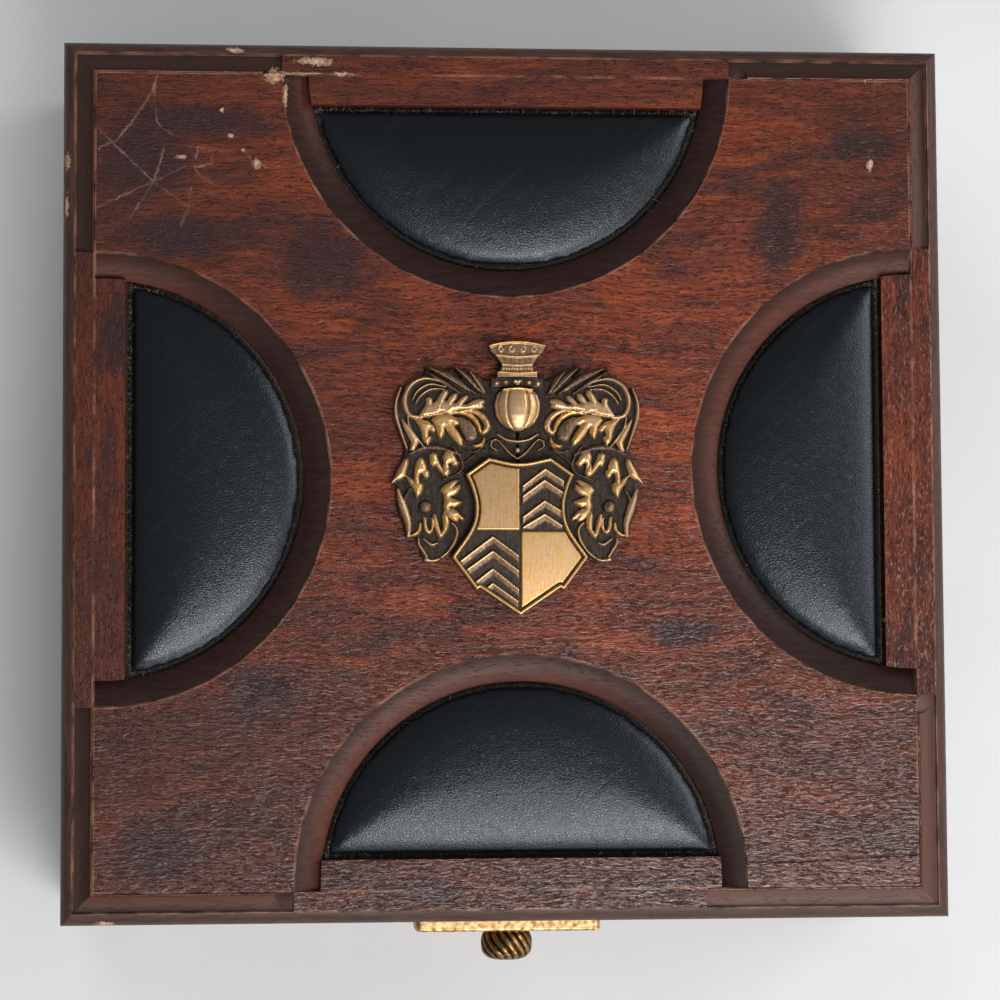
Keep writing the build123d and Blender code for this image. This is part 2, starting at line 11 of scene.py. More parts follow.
import bmesh
import bpy
import numpy as np
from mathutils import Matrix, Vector


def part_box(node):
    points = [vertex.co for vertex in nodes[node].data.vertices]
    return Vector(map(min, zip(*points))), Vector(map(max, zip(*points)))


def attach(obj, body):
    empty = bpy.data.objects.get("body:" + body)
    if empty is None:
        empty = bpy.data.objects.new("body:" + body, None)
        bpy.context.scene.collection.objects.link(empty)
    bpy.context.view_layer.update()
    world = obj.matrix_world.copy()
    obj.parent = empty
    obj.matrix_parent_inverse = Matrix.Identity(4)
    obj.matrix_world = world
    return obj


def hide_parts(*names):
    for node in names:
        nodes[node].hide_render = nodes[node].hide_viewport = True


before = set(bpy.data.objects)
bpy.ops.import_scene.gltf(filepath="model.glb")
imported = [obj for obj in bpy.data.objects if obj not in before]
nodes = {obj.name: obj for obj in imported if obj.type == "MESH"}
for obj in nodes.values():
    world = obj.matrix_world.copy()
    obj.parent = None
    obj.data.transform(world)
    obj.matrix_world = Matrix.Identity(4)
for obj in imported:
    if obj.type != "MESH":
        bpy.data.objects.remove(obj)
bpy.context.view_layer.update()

# %% Sizes that the finishes need, some read from the CAD pieces
MM = 0.001
half_width, _, lid_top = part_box("lid_front_rail")[1]
half_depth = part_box("lid_back_rail")[1][1]
bite_radius = 57.15 * MM
moulding = 7.6 * MM
# The lid's lip, the panel's border and the ledges behind the pads, measured inwards
lip = 3.6 * MM
border_inset = 9.2 * MM
ledge = 18.0 * MM
# Middle of each side's outer face, the directions along the side and inwards, and the place of
# its bite's centre along and inwards
SIDES = {
    "front": ((0, -half_depth), (1, 0), (0, 1), (3.4 * MM, 11.2 * MM)),
    "back": ((0, half_depth), (-1, 0), (0, -1), (-0.2 * MM, 8.6 * MM)),
    "left": ((-half_width, 0), (0, -1), (1, 0), (0.0 * MM, 11.6 * MM)),
    "right": ((half_width, 0), (0, 1), (-1, 0), (2.6 * MM, 9.3 * MM)),
}


def on_side(side, a, b):
    """Flat point of a side's own frame, a along the side and b inwards, in the common frame."""
    middle, along, inward = SIDES[side][:3]
    return np.array(middle) + np.multiply.outer(a, along) + np.multiply.outer(b, inward)


BITE_CENTRES = {side: (*map(float, on_side(side, *SIDES[side][3])), 0.0) for side in SIDES}
print("lid top at", round(lid_top, 4), "m, half sizes", round(half_width, 4), round(half_depth, 4))


# %% [markdown]
# ## The camera
#
# The photograph was taken from almost straight above, a little to the left and to the front.
# The camera's place comes from a perspective fit to the four corners of the lid. It is right
# over the lid, so none of the walls shows.

# %% Camera
camera_data = bpy.data.cameras.new("Camera")
camera = bpy.data.objects.new("Camera", camera_data)
bpy.context.scene.collection.objects.link(camera)
camera.location = (-0.0717, -0.0655, 0.9426)
camera.rotation_euler = tuple(np.radians((4.0, -4.619, -0.308)))
camera_data.lens = 108.0
camera_data.sensor_width = 36.0
camera_data.clip_start = 0.01
bpy.context.scene.camera = camera
bpy.context.scene.view_settings.view_transform = "Standard"
print("camera at", [round(v, 3) for v in camera.location])


# %% [markdown]
# ## Colours and nodes
#
# Colours are written as sRGB hex values, as a paint chart gives them, and one function turns
# them into the linear values that a shader works with. Another adds a node, fills its inputs and
# gives back its output, so that a material reads like a recipe.

# %% Colour and node helpers
def linear(hex_colour):
    """Linear RGBA of an sRGB hex colour: below 0.04045 divide by 12.92, above it a 2.4 power."""
    c = np.array([int(hex_colour[i : i + 2], 16) for i in (1, 3, 5)]) / 255
    c = np.where(c <= 0.04045, c / 12.92, ((c + 0.055) / 1.055) ** 2.4)
    return (*[float(v) for v in c], 1.0)


def fill(node, inputs):
    """Set a node's inputs: a number or vector is a value, a hex string is a colour, and another
    node's output is joined to the input."""
    for socket, value in inputs.items():
        if isinstance(value, bpy.types.NodeSocket):
            node.id_data.links.new(value, node.inputs[socket])
        else:
            node.inputs[socket].default_value = linear(value) if isinstance(value, str) else value


def add(tree, kind, inputs=None, out=0, stops=(), **settings):
    """Add a shader node and give back one of its outputs. inputs maps a socket's name or number
    to what goes in; stops fills a colour ramp with places and hex colours."""
    node = tree.nodes.new("ShaderNode" + kind)
    for name, value in settings.items():
        setattr(node, name, value)
    for number, (place, colour) in enumerate(stops):
        band = node.color_ramp.elements
        element = band[number] if number < 2 else band.new(place)
        element.position = place
        element.color = linear(colour)
    fill(node, inputs or {})
    return node.outputs[out]


def finish_named(name, roughness=0.5, metallic=0.0):
    """A new material, the node adder for its tree, and its surface shader."""
    material = bpy.data.materials.new(name)
    material.use_nodes = True
    shader = material.node_tree.nodes["Principled BSDF"]
    fill(shader, {"Roughness": roughness, "Metallic": metallic})
    return material, partial(add, material.node_tree), shader


# Settings that many nodes share: a mix of two colours, a ramp that starts and ends softly, and
# the two vector sums that give one number
COLOUR_MIX = {"out": 2, "data_type": "RGBA"}
EASED = {"interpolation_type": "SMOOTHSTEP"}
DOT = {"out": "Value", "operation": "DOT_PRODUCT"}
DISTANCE = {"out": "Value", "operation": "DISTANCE"}
print("orange as linear:", [round(v, 3) for v in linear("#ff8000")])


# %% [markdown]
# ## Floor and light
#
# The box lies on white paper under soft indoor light that comes mainly from the front and the
# right. A lamp above the front gives the leather its broad highlights. A low window beside it
# lights the mouldings that face the front, and the dimmer room behind leaves the others dark.

# %% Floor and lamps
def white_paper():
    """Matt, slightly embossed paper."""
    material, node, shader = finish_named("embossed_paper", 0.85)
    place = node("TexCoord", out="Object")
    cloud = node("TexNoise", {"Vector": place, "Scale": 6.0, "Detail": 3.0})
    colour = node("ValToRGB", {0: cloud}, stops=((0.3, "#c6c8c8"), (0.7, "#d2d4d5")))
    fill(shader, {"Base Color": colour})
    quilt = node("TexNoise", {"Vector": place, "Scale": 110.0, "Detail": 1.0})
    fill(shader, {"Normal": node("Bump", {"Height": quilt, "Distance": 0.0006, "Strength": 0.25})})
    return material


floor_mesh = bpy.data.meshes.new("floor")
floor_mesh.from_pydata([(-3, -3, 0), (3, -3, 0), (3, 3, 0), (-3, 3, 0)], [], [(0, 1, 2, 3)])
floor = bpy.data.objects.new("floor", floor_mesh)
bpy.context.scene.collection.objects.link(floor)
floor_mesh.materials.append(white_paper())


def area_lamp(name, place, aim, width, height, watts, colour="#ffffff"):
    """Rectangular lamp at a place, facing a point."""
    data = bpy.data.lights.new(name, "AREA")
    data.shape = "RECTANGLE"
    data.size = width
    data.size_y = height
    data.energy = watts
    data.color = linear(colour)[:3]
    lamp = bpy.data.objects.new(name, data)
    bpy.context.scene.collection.objects.link(lamp)
    lamp.location = place
    lamp.rotation_euler = (Vector(place) - Vector(aim)).to_track_quat("Z", "Y").to_euler()
    return lamp


area_lamp("ceiling_window", (0.20, -0.54, 1.05), (0.0, 0.0, 0.08), 0.56, 0.40, 9.2, "#fdfbf8")
area_lamp("low_window", (0.75, -1.05, 0.50), (0.0, 0.0, 0.08), 1.0, 0.5, 7.8, "#fafbff")
area_lamp("right_wall", (1.1, 0.35, 0.75), (0.0, 0.0, 0.05), 0.7, 0.7, 6.5, "#f4f6f8")
# The wall behind gives back a little light. It is too dim to mirror in the leather.
wall_behind = area_lamp("wall_behind", (-0.35, 1.15, 0.95), (0.0, 0.15, 0.0), 1.2, 0.8, 7.0, "#f6f8fa")
wall_behind.visible_glossy = False

world = bpy.data.worlds.new("soft_room")
bpy.context.scene.world = world
world.use_nodes = True
sky = partial(add, world.node_tree)
toward = sky("VectorMath", {0: sky("TexCoord", out="Generated"), 1: (0.45, -0.87, 0.18)}, **DOT)
room_light = sky(
    "MapRange", {"Value": toward, "From Min": -0.02, "From Max": 0.95, "To Min": 0.24, "To Max": 0.74},
    **EASED,
)
fill(world.node_tree.nodes["Background"], {"Strength": room_light, "Color": "#f5f5f4"})
print("four soft lamps and a room that is brighter in front")


# %% [markdown]
# ## Mahogany
#
# The box is red-brown stained mahogany under a thin satin lacquer. The pores stay open: under
# the lacquer they are short grooves along the grain, 0.2 to 0.4 mm wide and a few millimetres
# long. Broad dark clouds, streaks along the grain and the pores make the wood, and the pores
# dent the surface too. Each is stretched noise whose scale comes from a real size.
#
# The mouldings were shaped by a cutter and filled, so they are smoother and plainer than the
# flat faces. A mask from the depth below the lid's top and the distance to the outer edges
# tells the two apart, because one CAD mesh carries both.

# %% Marks on the lid, in mm on its top face
# Dark patches of stain: middle, half length, half width
STAINS = (
    (-53, 62, 17, 12), (-104, 92, 15, 14), (79, 74, 8, 17), (-72, -61, 13, 9), (-98, -104, 16, 9),
    (-26, -117, 15, 4), (-112, 40, 6, 12), (48, -44, 10, 5), (104, 98, 12, 6), (-88, 103, 25, 5),
    (-92, 70, 23, 6),
)
# Chips down to the bare wood: middle, half length, half width
CHIPS = (
    (-66.5, 116.2, 3.2, 2.6), (-78.2, 123.6, 3.0, 0.9), (-55.0, 120.3, 5.5, 1.3), (-47.3, 116.8, 3.0, 0.8),
    (-63.6, 110.5, 0.7, 3.5), (-125.6, 91.0, 0.9, 3.2), (-125.8, 78.0, 0.7, 3.6), (-81.7, 106.0, 0.8, 0.9),
    (-75.7, 94.5, 0.7, 0.6), (-71.8, 90.4, 1.2, 1.8), (-93.2, 92.4, 1.3, 0.7), (106.3, 91.9, 1.1, 2.4),
    (105.2, 116.6, 0.5, 0.8), (108.8, -40.6, 0.6, 0.6), (-79.0, 98.6, 1.1, 0.7), (-114.5, -125.2, 3.0, 0.6),
    (88.0, -116.9, 13.0, 0.3), (-60.0, 116.9, 9.0, 0.3),
)
# Scratches, as lines from point to point
SCRATCHES = (
    ((-100.3, 115.9), (-101.7, 111.1), (-107.4, 102.3), (-111.2, 97.5), (-116.8, 94.6)),
    ((-100.8, 113.5), (-101.0, 108.7), (-100.3, 102.9), (-99.1, 100.8), (-95.5, 98.6)),
    ((-116.8, 100.3), (-111.1, 94.6), (-101.2, 85.1), (-91.7, 78.4)),
    ((-98.4, 94.7), (-99.8, 89.4), (-101.2, 85.1), (-108.3, 74.0)),
    ((-116.8, 77.8), (-108.7, 81.7), (-101.2, 85.1), (-95.5, 88.0), (-92.7, 89.5)),
    ((-89.4, 91.9), (-88.4, 95.3), (-84.3, 94.4), (-84.6, 90.5), (-89.6, 89.5), (-87.9, 86.7), (-83.7, 84.3)),
    ((-90.3, 83.7), (-91.2, 78.0), (-93.6, 72.2)),
    ((-75.6, 95.0), (-72.7, 90.7), (-68.9, 89.7)),
)
CRACK = (((69.2, -109.6), (83.1, -109.7), (100.5, -108.7), (117.0, -108.0)),)
print(len(STAINS), "stains,", len(CHIPS), "chips,", len(SCRATCHES), "scratches")


# %% Distances to the marks
def to_ellipses(node, flat, table):
    """Least distance from a point to the middles of some ellipses, each as a share of its own
    half axes: 1 on an ellipse's edge."""
    least = None
    for x, y, half_length, half_breadth in table:
        away = node("VectorMath", {0: flat, 1: (x * MM, y * MM, 0)}, operation="SUBTRACT")
        share = (1 / (half_length * MM), 1 / (half_breadth * MM), 1.0)
        away = node("VectorMath", {0: away, 1: share}, operation="MULTIPLY")
        away = node("VectorMath", {0: away}, out="Value", operation="LENGTH")
        least = away if least is None else node("Math", {0: least, 1: away}, operation="MINIMUM")
    return least


def to_lines(node, flat, lines):
    """Least distance from a point p to the stretches of some lines. On the stretch from a, with
    step d, the nearest point is a + t d, where t = (p - a).d / d.d, kept between 0 and 1."""
    least = None
    for line in lines:
        for (ax, ay), (bx, by) in zip(line[:-1], line[1:]):
            step = np.array((bx - ax, by - ay, 0.0)) * MM
            away = node("VectorMath", {0: flat, 1: (ax * MM, ay * MM, 0)}, operation="SUBTRACT")
            t = node("VectorMath", {0: away, 1: tuple(step / (step @ step))}, **DOT)
            t = node("Math", {0: t, 1: 0.0}, operation="MAXIMUM")
            t = node("Math", {0: t, 1: 1.0}, operation="MINIMUM")
            along = node("VectorMath", {0: tuple(step), "Scale": t}, operation="SCALE")
            away = node("VectorMath", {0: away, 1: along}, **DISTANCE)
            least = away if least is None else node("Math", {0: least, 1: away}, operation="MINIMUM")
    return least


print("a mark's distance is worked out in the material, so it needs no mesh")

# %% Mahogany
# Length and width in mm of each mark of the grain, and its octaves
GRAIN = (
    ("cloud", 30, 10, 5), ("glow", 42, 12, 3), ("streak", 19, 1.1, 4),
    # The glint mark places painted glints, pale specks in the pores.
    ("pore", 3.0, 0.60, 2), ("ripple", 2.2, 0.7, 2), ("glint", 1.9, 0.50, 2),
)


def mahogany(name, grain, on_lid=False, on_panel=False):
    """Stained mahogany with its grain along X or Y; on the lid it knows the mouldings and marks."""
    material, node, shader = finish_named(name)
    place = node("TexCoord", out="Object")
    # The grain wanders sideways by a millimetre or two.
    wander = node("TexNoise", {"Vector": place, "Scale": 22.0, "Detail": 5.0, "Roughness": 0.62}, out="Color")
    wander = node("VectorMath", {0: wander, 1: (0.5, 0.5, 0.5)}, operation="SUBTRACT")
    wander = node("VectorMath", {0: wander, "Scale": 0.009}, operation="SCALE")
    bent = node("VectorMath", {0: place, 1: wander}, operation="ADD")
    marks = {}
    for kind, length, width, octaves in GRAIN:
        scale = (1000 / length, 1000 / width, 1000 / width)
        if grain == "Y":
            scale = (scale[1], scale[0], scale[2])
        unit = node("Mapping", {"Vector": bent, "Scale": scale})
        marks[kind] = node("TexNoise", {"Vector": unit, "Scale": 1.0, "Detail": octaves, "Roughness": 0.6})
    streak = marks["streak"]
    cloud = node("MapRange", {"Value": marks["cloud"], "From Min": 0.51, "From Max": 0.66}, **EASED)
    glow = node("MapRange", {"Value": marks["glow"], "From Min": 0.40, "From Max": 0.68}, **EASED)
    pore = node("MapRange", {"Value": marks["pore"], "From Min": 0.45, "From Max": 0.37}, **EASED)

    plain = node("ValToRGB", {0: streak}, stops=((0.32, "#3d190f"), (0.68, "#77351d"), (0.5, "#5c2616")))
    warm = node("ValToRGB", {0: streak}, stops=((0.30, "#551e0d"), (0.72, "#9c4b20"), (0.5, "#7c3213")))
    colour = node("Mix", {0: glow, 6: plain, 7: warm}, **COLOUR_MIX)
    share = node("Math", {0: cloud, 1: 0.72}, operation="MULTIPLY")
    colour = node("Mix", {0: share, 6: colour, 7: "#2c1614"}, **COLOUR_MIX)
    share = node("Math", {0: pore, 1: 0.6}, operation="MULTIPLY")
    colour = node("Mix", {0: share, 6: colour, 7: "#1c0a08"}, **COLOUR_MIX)
    dents = node("Math", {0: streak, 1: marks["ripple"]}, operation="ADD")
    dents = node("Math", {0: dents, 1: 0.5}, operation="MULTIPLY")
    dents = node("Math", {0: dents, 1: pore}, operation="SUBTRACT")
    rough = node("MapRange", {"Value": pore, "To Min": 0.27, "To Max": 0.5})
    if on_lid:
        parts = node("SeparateXYZ", {0: place}).node.outputs
        flat = node("CombineXYZ", {0: parts[0], 1: parts[1]})
        # Pale specks in the pores, most toward the front right corner, are painted glints of the lamps on the
        # lacquer.
        painted_glints = node("VectorMath", {0: flat, 1: (0.6, -0.8, 0)}, **DOT)
        painted_glints = node(
            "MapRange",
            {"Value": painted_glints, "From Min": -60 * MM, "From Max": 130 * MM, "To Min": 0.05, "To Max": 0.55},
        )
        speck = node("MapRange", {"Value": marks["glint"], "From Min": 0.59, "From Max": 0.64})
        painted_glints = node("Math", {0: painted_glints, 1: speck}, operation="MULTIPLY")
        # The wood is darker away from a point toward the back right.
        off_middle = node("VectorMath", {0: flat, 1: (24 * MM, 28 * MM, 0)}, **DISTANCE)
        darker = node(
            "MapRange", {"Value": off_middle, "From Min": 36 * MM, "From Max": 150 * MM, "To Max": 0.72}
        )
        colour = node("Mix", {0: darker, 6: colour, 7: "#2b1511"}, **COLOUR_MIX)
        ragged = node("TexNoise", {"Vector": bent, "Scale": 1000 / 9, "Detail": 5.0, "Roughness": 0.65})
        stain = to_ellipses(node, flat, STAINS)
        stain = node("Math", {0: ragged, 1: 1.6, 2: stain}, operation="MULTIPLY_ADD")
        stain = node("MapRange", {"Value": stain, "From Min": 2.1, "From Max": 1.2, "To Max": 0.9}, **EASED)
        colour = node("Mix", {0: stain, 6: colour, 7: "#2a1719"}, **COLOUR_MIX)
        # Mix in the painted glints: pale specks toward the front right.
        colour = node("Mix", {0: painted_glints, 6: colour, 7: "#977a72"}, **COLOUR_MIX)
        near = None
        for centre in BITE_CENTRES.values():
            away = node("VectorMath", {0: flat, 1: centre}, **DISTANCE)
            near = away if near is None else node("Math", {0: near, 1: away}, operation="MINIMUM")
        from_faces = node("VectorMath", {0: flat}, operation="ABSOLUTE")
        from_faces = node("VectorMath", {0: (half_width, half_depth, 0), 1: from_faces}, operation="SUBTRACT")
        sides = node("SeparateXYZ", {0: from_faces}).node.outputs
        rim = node("Math", {0: sides[0], 1: sides[1]}, operation="MINIMUM")
        # The wear and the mouldings are on the lid's top; its outer sides and underside are plain wood.
        near_top = node(
            "MapRange", {"Value": parts[2], "From Min": lid_top - 7.0 * MM, "From Max": lid_top - 6.5 * MM}
        )
        cut = node(
            "MapRange", {"Value": parts[2], "From Min": lid_top - 0.25 * MM, "From Max": lid_top - 0.5 * MM}
        )
        cut = node("Math", {0: cut, 1: near_top}, operation="MULTIPLY")
        within = node(
            "MapRange",
            {"Value": rim, "From Min": border_inset - 0.2 * MM, "From Max": border_inset + 0.1 * MM},
        )
        lip_zone = node("MapRange", {"Value": rim, "From Min": lip + 0.2 * MM, "From Max": lip - 0.1 * MM})
        lip_zone = node("Math", {0: lip_zone, 1: near_top}, operation="MULTIPLY")
        filled = node("Math", {0: cut, 1: lip_zone}, operation="SUBTRACT", use_clamp=True)
        # Painted light and shade: the mouldings are painted dark where they face away from the lamps and
        # paler where they face the front right.
        lit_share = node("VectorMath", {0: node("TexCoord", out="Normal"), 1: (0.60, -0.80, 0)}, **DOT)
        lit_share = node("MapRange", {"Value": lit_share, "From Min": 0.0, "From Max": 0.30})
        # Along the right side and the front, the border is painted in the mouldings' lit colour and a paler
        # grey-brown: painted light and sheen, and some grime.
        sheen_and_grime_side = node("VectorMath", {0: flat, 1: (0.75, -0.66, 0)}, **DOT)
        sheen_and_grime_side = node("MapRange", {"Value": sheen_and_grime_side, "From Min": 15 * MM, "From Max": 110 * MM})
        border_zone = node(
            "MapRange",
            {"Value": rim, "From Min": border_inset + 0.1 * MM, "From Max": border_inset - 0.2 * MM},
        )
        border_zone = node("Math", {0: border_zone, 1: cut}, operation="MULTIPLY")
        sheen_and_grime_side = node("Math", {0: sheen_and_grime_side, 1: border_zone}, operation="MULTIPLY")
        lit_share = node("Math", {0: lit_share, 1: sheen_and_grime_side}, operation="MAXIMUM")
        # The moulding's colour in painted shade, then in painted light.
        shaded_moulding = node("ValToRGB", {0: streak}, stops=((0.25, "#190d0b"), (0.75, "#2c1915")))
        paler = node("ValToRGB", {0: streak}, stops=((0.25, "#381b13"), (0.75, "#562d20")))
        moulded = node("Mix", {0: lit_share, 6: shaded_moulding, 7: paler}, **COLOUR_MIX)
        colour = node("Mix", {0: filled, 6: colour, 7: moulded}, **COLOUR_MIX)
        dusty = node("ValToRGB", {0: streak}, stops=((0.25, "#2a1a16"), (0.75, "#4b3832")))
        # A grey-brown over the border, strongest toward the front right: painted sheen and grime.
        share = node("Math", {0: border_zone, 1: 0.15}, operation="MULTIPLY")
        share = node("Math", {0: sheen_and_grime_side, 1: 0.4, 2: share}, operation="MULTIPLY_ADD")
        colour = node("Mix", {0: share, 6: colour, 7: "#5d4840"}, **COLOUR_MIX)
        share = node("Math", {0: lip_zone, 1: 0.8}, operation="MULTIPLY")
        colour = node("Mix", {0: share, 6: colour, 7: dusty}, **COLOUR_MIX)
        # The sharp arrises are rubbed through to paler wood in places.
        worn = node("TexNoise", {"Vector": place, "Scale": 150.0, "Detail": 3.0})
        worn = node("MapRange", {"Value": worn, "From Min": 0.40, "From Max": 0.62, "To Max": near_top})
        brink = node("Math", {0: near, 1: bite_radius + moulding, 2: 0.4 * MM}, operation="COMPARE")
        brink = node("Math", {0: brink, 1: within}, operation="MULTIPLY")
        border = node("Math", {0: rim, 1: border_inset, 2: 0.4 * MM}, operation="COMPARE")
        lip_edge = node("Math", {0: rim, 1: lip, 2: 0.35 * MM}, operation="COMPARE")
        for arris in (brink, border, lip_edge):
            share = node("Math", {0: arris, 1: worn}, operation="MULTIPLY")
            share = node("Math", {0: share, 1: 0.6}, operation="MULTIPLY")
            colour = node("Mix", {0: share, 6: colour, 7: "#8d6450"}, **COLOUR_MIX)
        # Chips show tan wood with ragged edges.
        crumbly = node("TexNoise", {"Vector": place, "Scale": 1000 / 1.6, "Detail": 4.0, "Roughness": 0.7})
        chip = to_ellipses(node, flat, CHIPS)
        chip = node("Math", {0: crumbly, 1: 4.2, 2: chip}, operation="MULTIPLY_ADD")
        chip = node("MapRange", {"Value": chip, "From Min": 3.1, "From Max": 2.85, "To Max": near_top})
        bare = node("ValToRGB", {0: crumbly}, stops=((0.38, "#7c5a44"), (0.62, "#c9ab90")))
        colour = node("Mix", {0: chip, 6: colour, 7: bare}, **COLOUR_MIX)
        smooth = node("Math", {0: filled, 1: lip_zone}, operation="MAXIMUM")
        open_share = node("MapRange", {"Value": smooth, "To Min": 1.0, "To Max": 0.04})
        dents = node("Math", {0: dents, 1: open_share}, operation="MULTIPLY")
        dents = node("Math", {0: dents, 1: chip}, operation="SUBTRACT")
        dull = node("Math", {0: smooth, 1: chip}, operation="MAXIMUM")
        rough = node("Math", {0: dull, 1: 0.16, 2: rough}, operation="MULTIPLY_ADD")
        matt = node("Math", {0: dull, 1: pore}, operation="MAXIMUM")
        gloss = node("MapRange", {"Value": matt, "To Min": 0.5, "To Max": 0.2})
        fill(shader, {"Specular IOR Level": gloss})
    if on_panel:
        # Scratches are fine pale lines that come and go; the crack is a dark line.
        broken = node("TexNoise", {"Vector": place, "Scale": 1000 / 1.3, "Detail": 3.0}, out="Color")
        shaken = node("VectorMath", {0: broken, "Scale": 1.6 * MM}, operation="SCALE")
        shaken = node("VectorMath", {0: flat, 1: shaken}, operation="ADD")
        shaken = node("VectorMath", {0: shaken, 1: (0.8 * MM, 0.8 * MM, 0.8 * MM)}, operation="SUBTRACT")
        shaken = node("VectorMath", {0: shaken, 1: (1, 1, 0)}, operation="MULTIPLY")
        line = to_lines(node, shaken, SCRATCHES)
        reach = {"Value": line, "From Min": 0.40 * MM, "From Max": 0.08 * MM, "To Max": 0.55}
        line = node("MapRange", reach)
        worn_share = node("Math", {0: worn, 1: 0.75, 2: 0.25}, operation="MULTIPLY_ADD")
        line = node("Math", {0: line, 1: worn_share}, operation="MULTIPLY")
        colour = node("Mix", {0: line, 6: colour, 7: "#8c6e62"}, **COLOUR_MIX)
        gap = to_lines(node, flat, CRACK)
        gap = node("MapRange", {"Value": gap, "From Min": 0.32 * MM, "From Max": 0.12 * MM})
        colour = node("Mix", {0: gap, 6: colour, 7: "#1c0c0a"}, **COLOUR_MIX)
        dents = node("Math", {0: dents, 1: gap}, operation="SUBTRACT")
    grooves = node("Bump", {"Height": dents, "Distance": 0.24 * MM, "Strength": 1.0})
    fill(shader, {"Base Color": colour, "Roughness": rough, "Normal": grooves})
    return material


def give(material, *names):
    """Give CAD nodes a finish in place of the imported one."""
    for name in names:
        nodes[name].data.materials.clear()
        nodes[name].data.materials.append(material)


give(mahogany("mahogany_scratched_panel", "X", on_lid=True, on_panel=True), "lid_panel")
give(mahogany("mahogany_rails_across", "X", on_lid=True), "lid_front_rail", "lid_back_rail")
give(mahogany("mahogany_rails_front_to_back", "Y", on_lid=True), "lid_left_rail", "lid_right_rail")
give(mahogany("mahogany_walls_across", "X"), "front_wall", "back_wall")
give(mahogany("mahogany_walls_front_to_back", "Y"), "left_wall", "right_wall")
print("mahogany on 9 pieces")


# %% [markdown]
# ## Building surfaces from arrays
#
# Every new piece is a surface worked out with numpy: an array of points with one row for each
# step of one parameter and one column for each step of the other. The helper joins neighbouring
# points into faces, all at once, and hands them to Blender.

# %% Mesh helpers
def put_mesh(name, points, faces, material, body, smooth=True):
    """Mesh object from an array of points and an array of faces, riding on a CAD body."""
    points = np.asarray(points, np.float32).reshape(-1, 3)
    faces = np.asarray(faces, np.int32)
    mesh = bpy.data.meshes.new(name)
    mesh.vertices.add(len(points))
    mesh.vertices.foreach_set("co", points.ravel())
    mesh.loops.add(faces.size)
    mesh.loops.foreach_set("vertex_index", faces.ravel())
    mesh.polygons.add(len(faces))
    mesh.polygons.foreach_set("loop_start", np.arange(0, faces.size, faces.shape[1], dtype=np.int32))
    mesh.update(calc_edges=True)
    mesh.validate()
    mesh.polygons.foreach_set("use_smooth", np.full(len(mesh.polygons), smooth))
    mesh.materials.append(material)
    piece = bpy.data.objects.new(name, mesh)
    bpy.context.scene.collection.objects.link(piece)
    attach(piece, body)
    return piece


def grid_faces(rows, columns, wrap=False):
    """Quads between neighbouring points of a grid; wrap joins the last column to the first."""
    i, j = np.meshgrid(np.arange(rows - 1), np.arange(columns if wrap else columns - 1), indexing="ij")
    k = (j + 1) % columns
    corners = (i * columns + j, i * columns + k, (i + 1) * columns + k, (i + 1) * columns + j)
    return np.stack(corners, -1).reshape(-1, 4)


def smooth_curve(points, steps=48):
    """Points along a Catmull-Rom curve: each span is the cubic through its ends whose slopes
    there are half the step between the neighbours."""
    p = np.asarray(points, float)
    p = np.vstack([2 * p[0] - p[1], p, 2 * p[-1] - p[-2]])
    t = np.linspace(0, len(points) - 1 - 1e-9, steps)
    k = t.astype(int)
    f = (t - k)[:, None]
    a, b, c, d = p[k], p[k + 1], p[k + 2], p[k + 3]
    return b + 0.5 * f * (c - a + f * (2 * a - 5 * b + 4 * c - d + f * (3 * (b - c) + d - a)))


print("a grid of 3 by 4 points has", len(grid_faces(3, 4)), "faces")


# %% [markdown]
# ## Leather pads
#
# Each pad is thin black leather, stretched over foam on a half-moon board and pressed into its
# recess. The leather is full in the middle and pulled down all round. A cloth simulation gives
# that: the pad starts as an even mesh of the CAD pad, its foot is pinned, and air pressure
# inside swells it. The swelling is capped, so the pad stays clear of the wood.

# %% Pads by cloth simulation
scene = bpy.context.scene


def inflate(piece, pinned, pressure, frames=20):
    """Run the cloth modifier with pressure and no gravity, and keep the last frame's points."""
    group = piece.vertex_groups.new(name="foot")
    group.add([int(i) for i in np.flatnonzero(pinned)], 1.0, "REPLACE")
    cloth = piece.modifiers.new("Cloth", "CLOTH")
    cloth.settings.quality = 5
    cloth.settings.mass = 0.15
    cloth.settings.tension_stiffness = 25
    cloth.settings.compression_stiffness = 25
    cloth.settings.bending_stiffness = 2.0
    cloth.settings.use_pressure = True
    cloth.settings.uniform_pressure_force = pressure
    cloth.settings.vertex_group_mass = "foot"
    cloth.settings.effector_weights.gravity = 0.0
    cloth.collision_settings.use_collision = False
    cloth.point_cache.frame_start = 1
    cloth.point_cache.frame_end = frames
    for number in range(1, frames + 1):
        scene.frame_set(number)
    shown = piece.evaluated_get(bpy.context.evaluated_depsgraph_get())
    swollen = np.empty(len(shown.data.vertices) * 3, np.float32)
    shown.data.vertices.foreach_get("co", swollen)
    piece.modifiers.remove(cloth)
    scene.frame_set(1)
    return swollen.reshape(-1, 3)


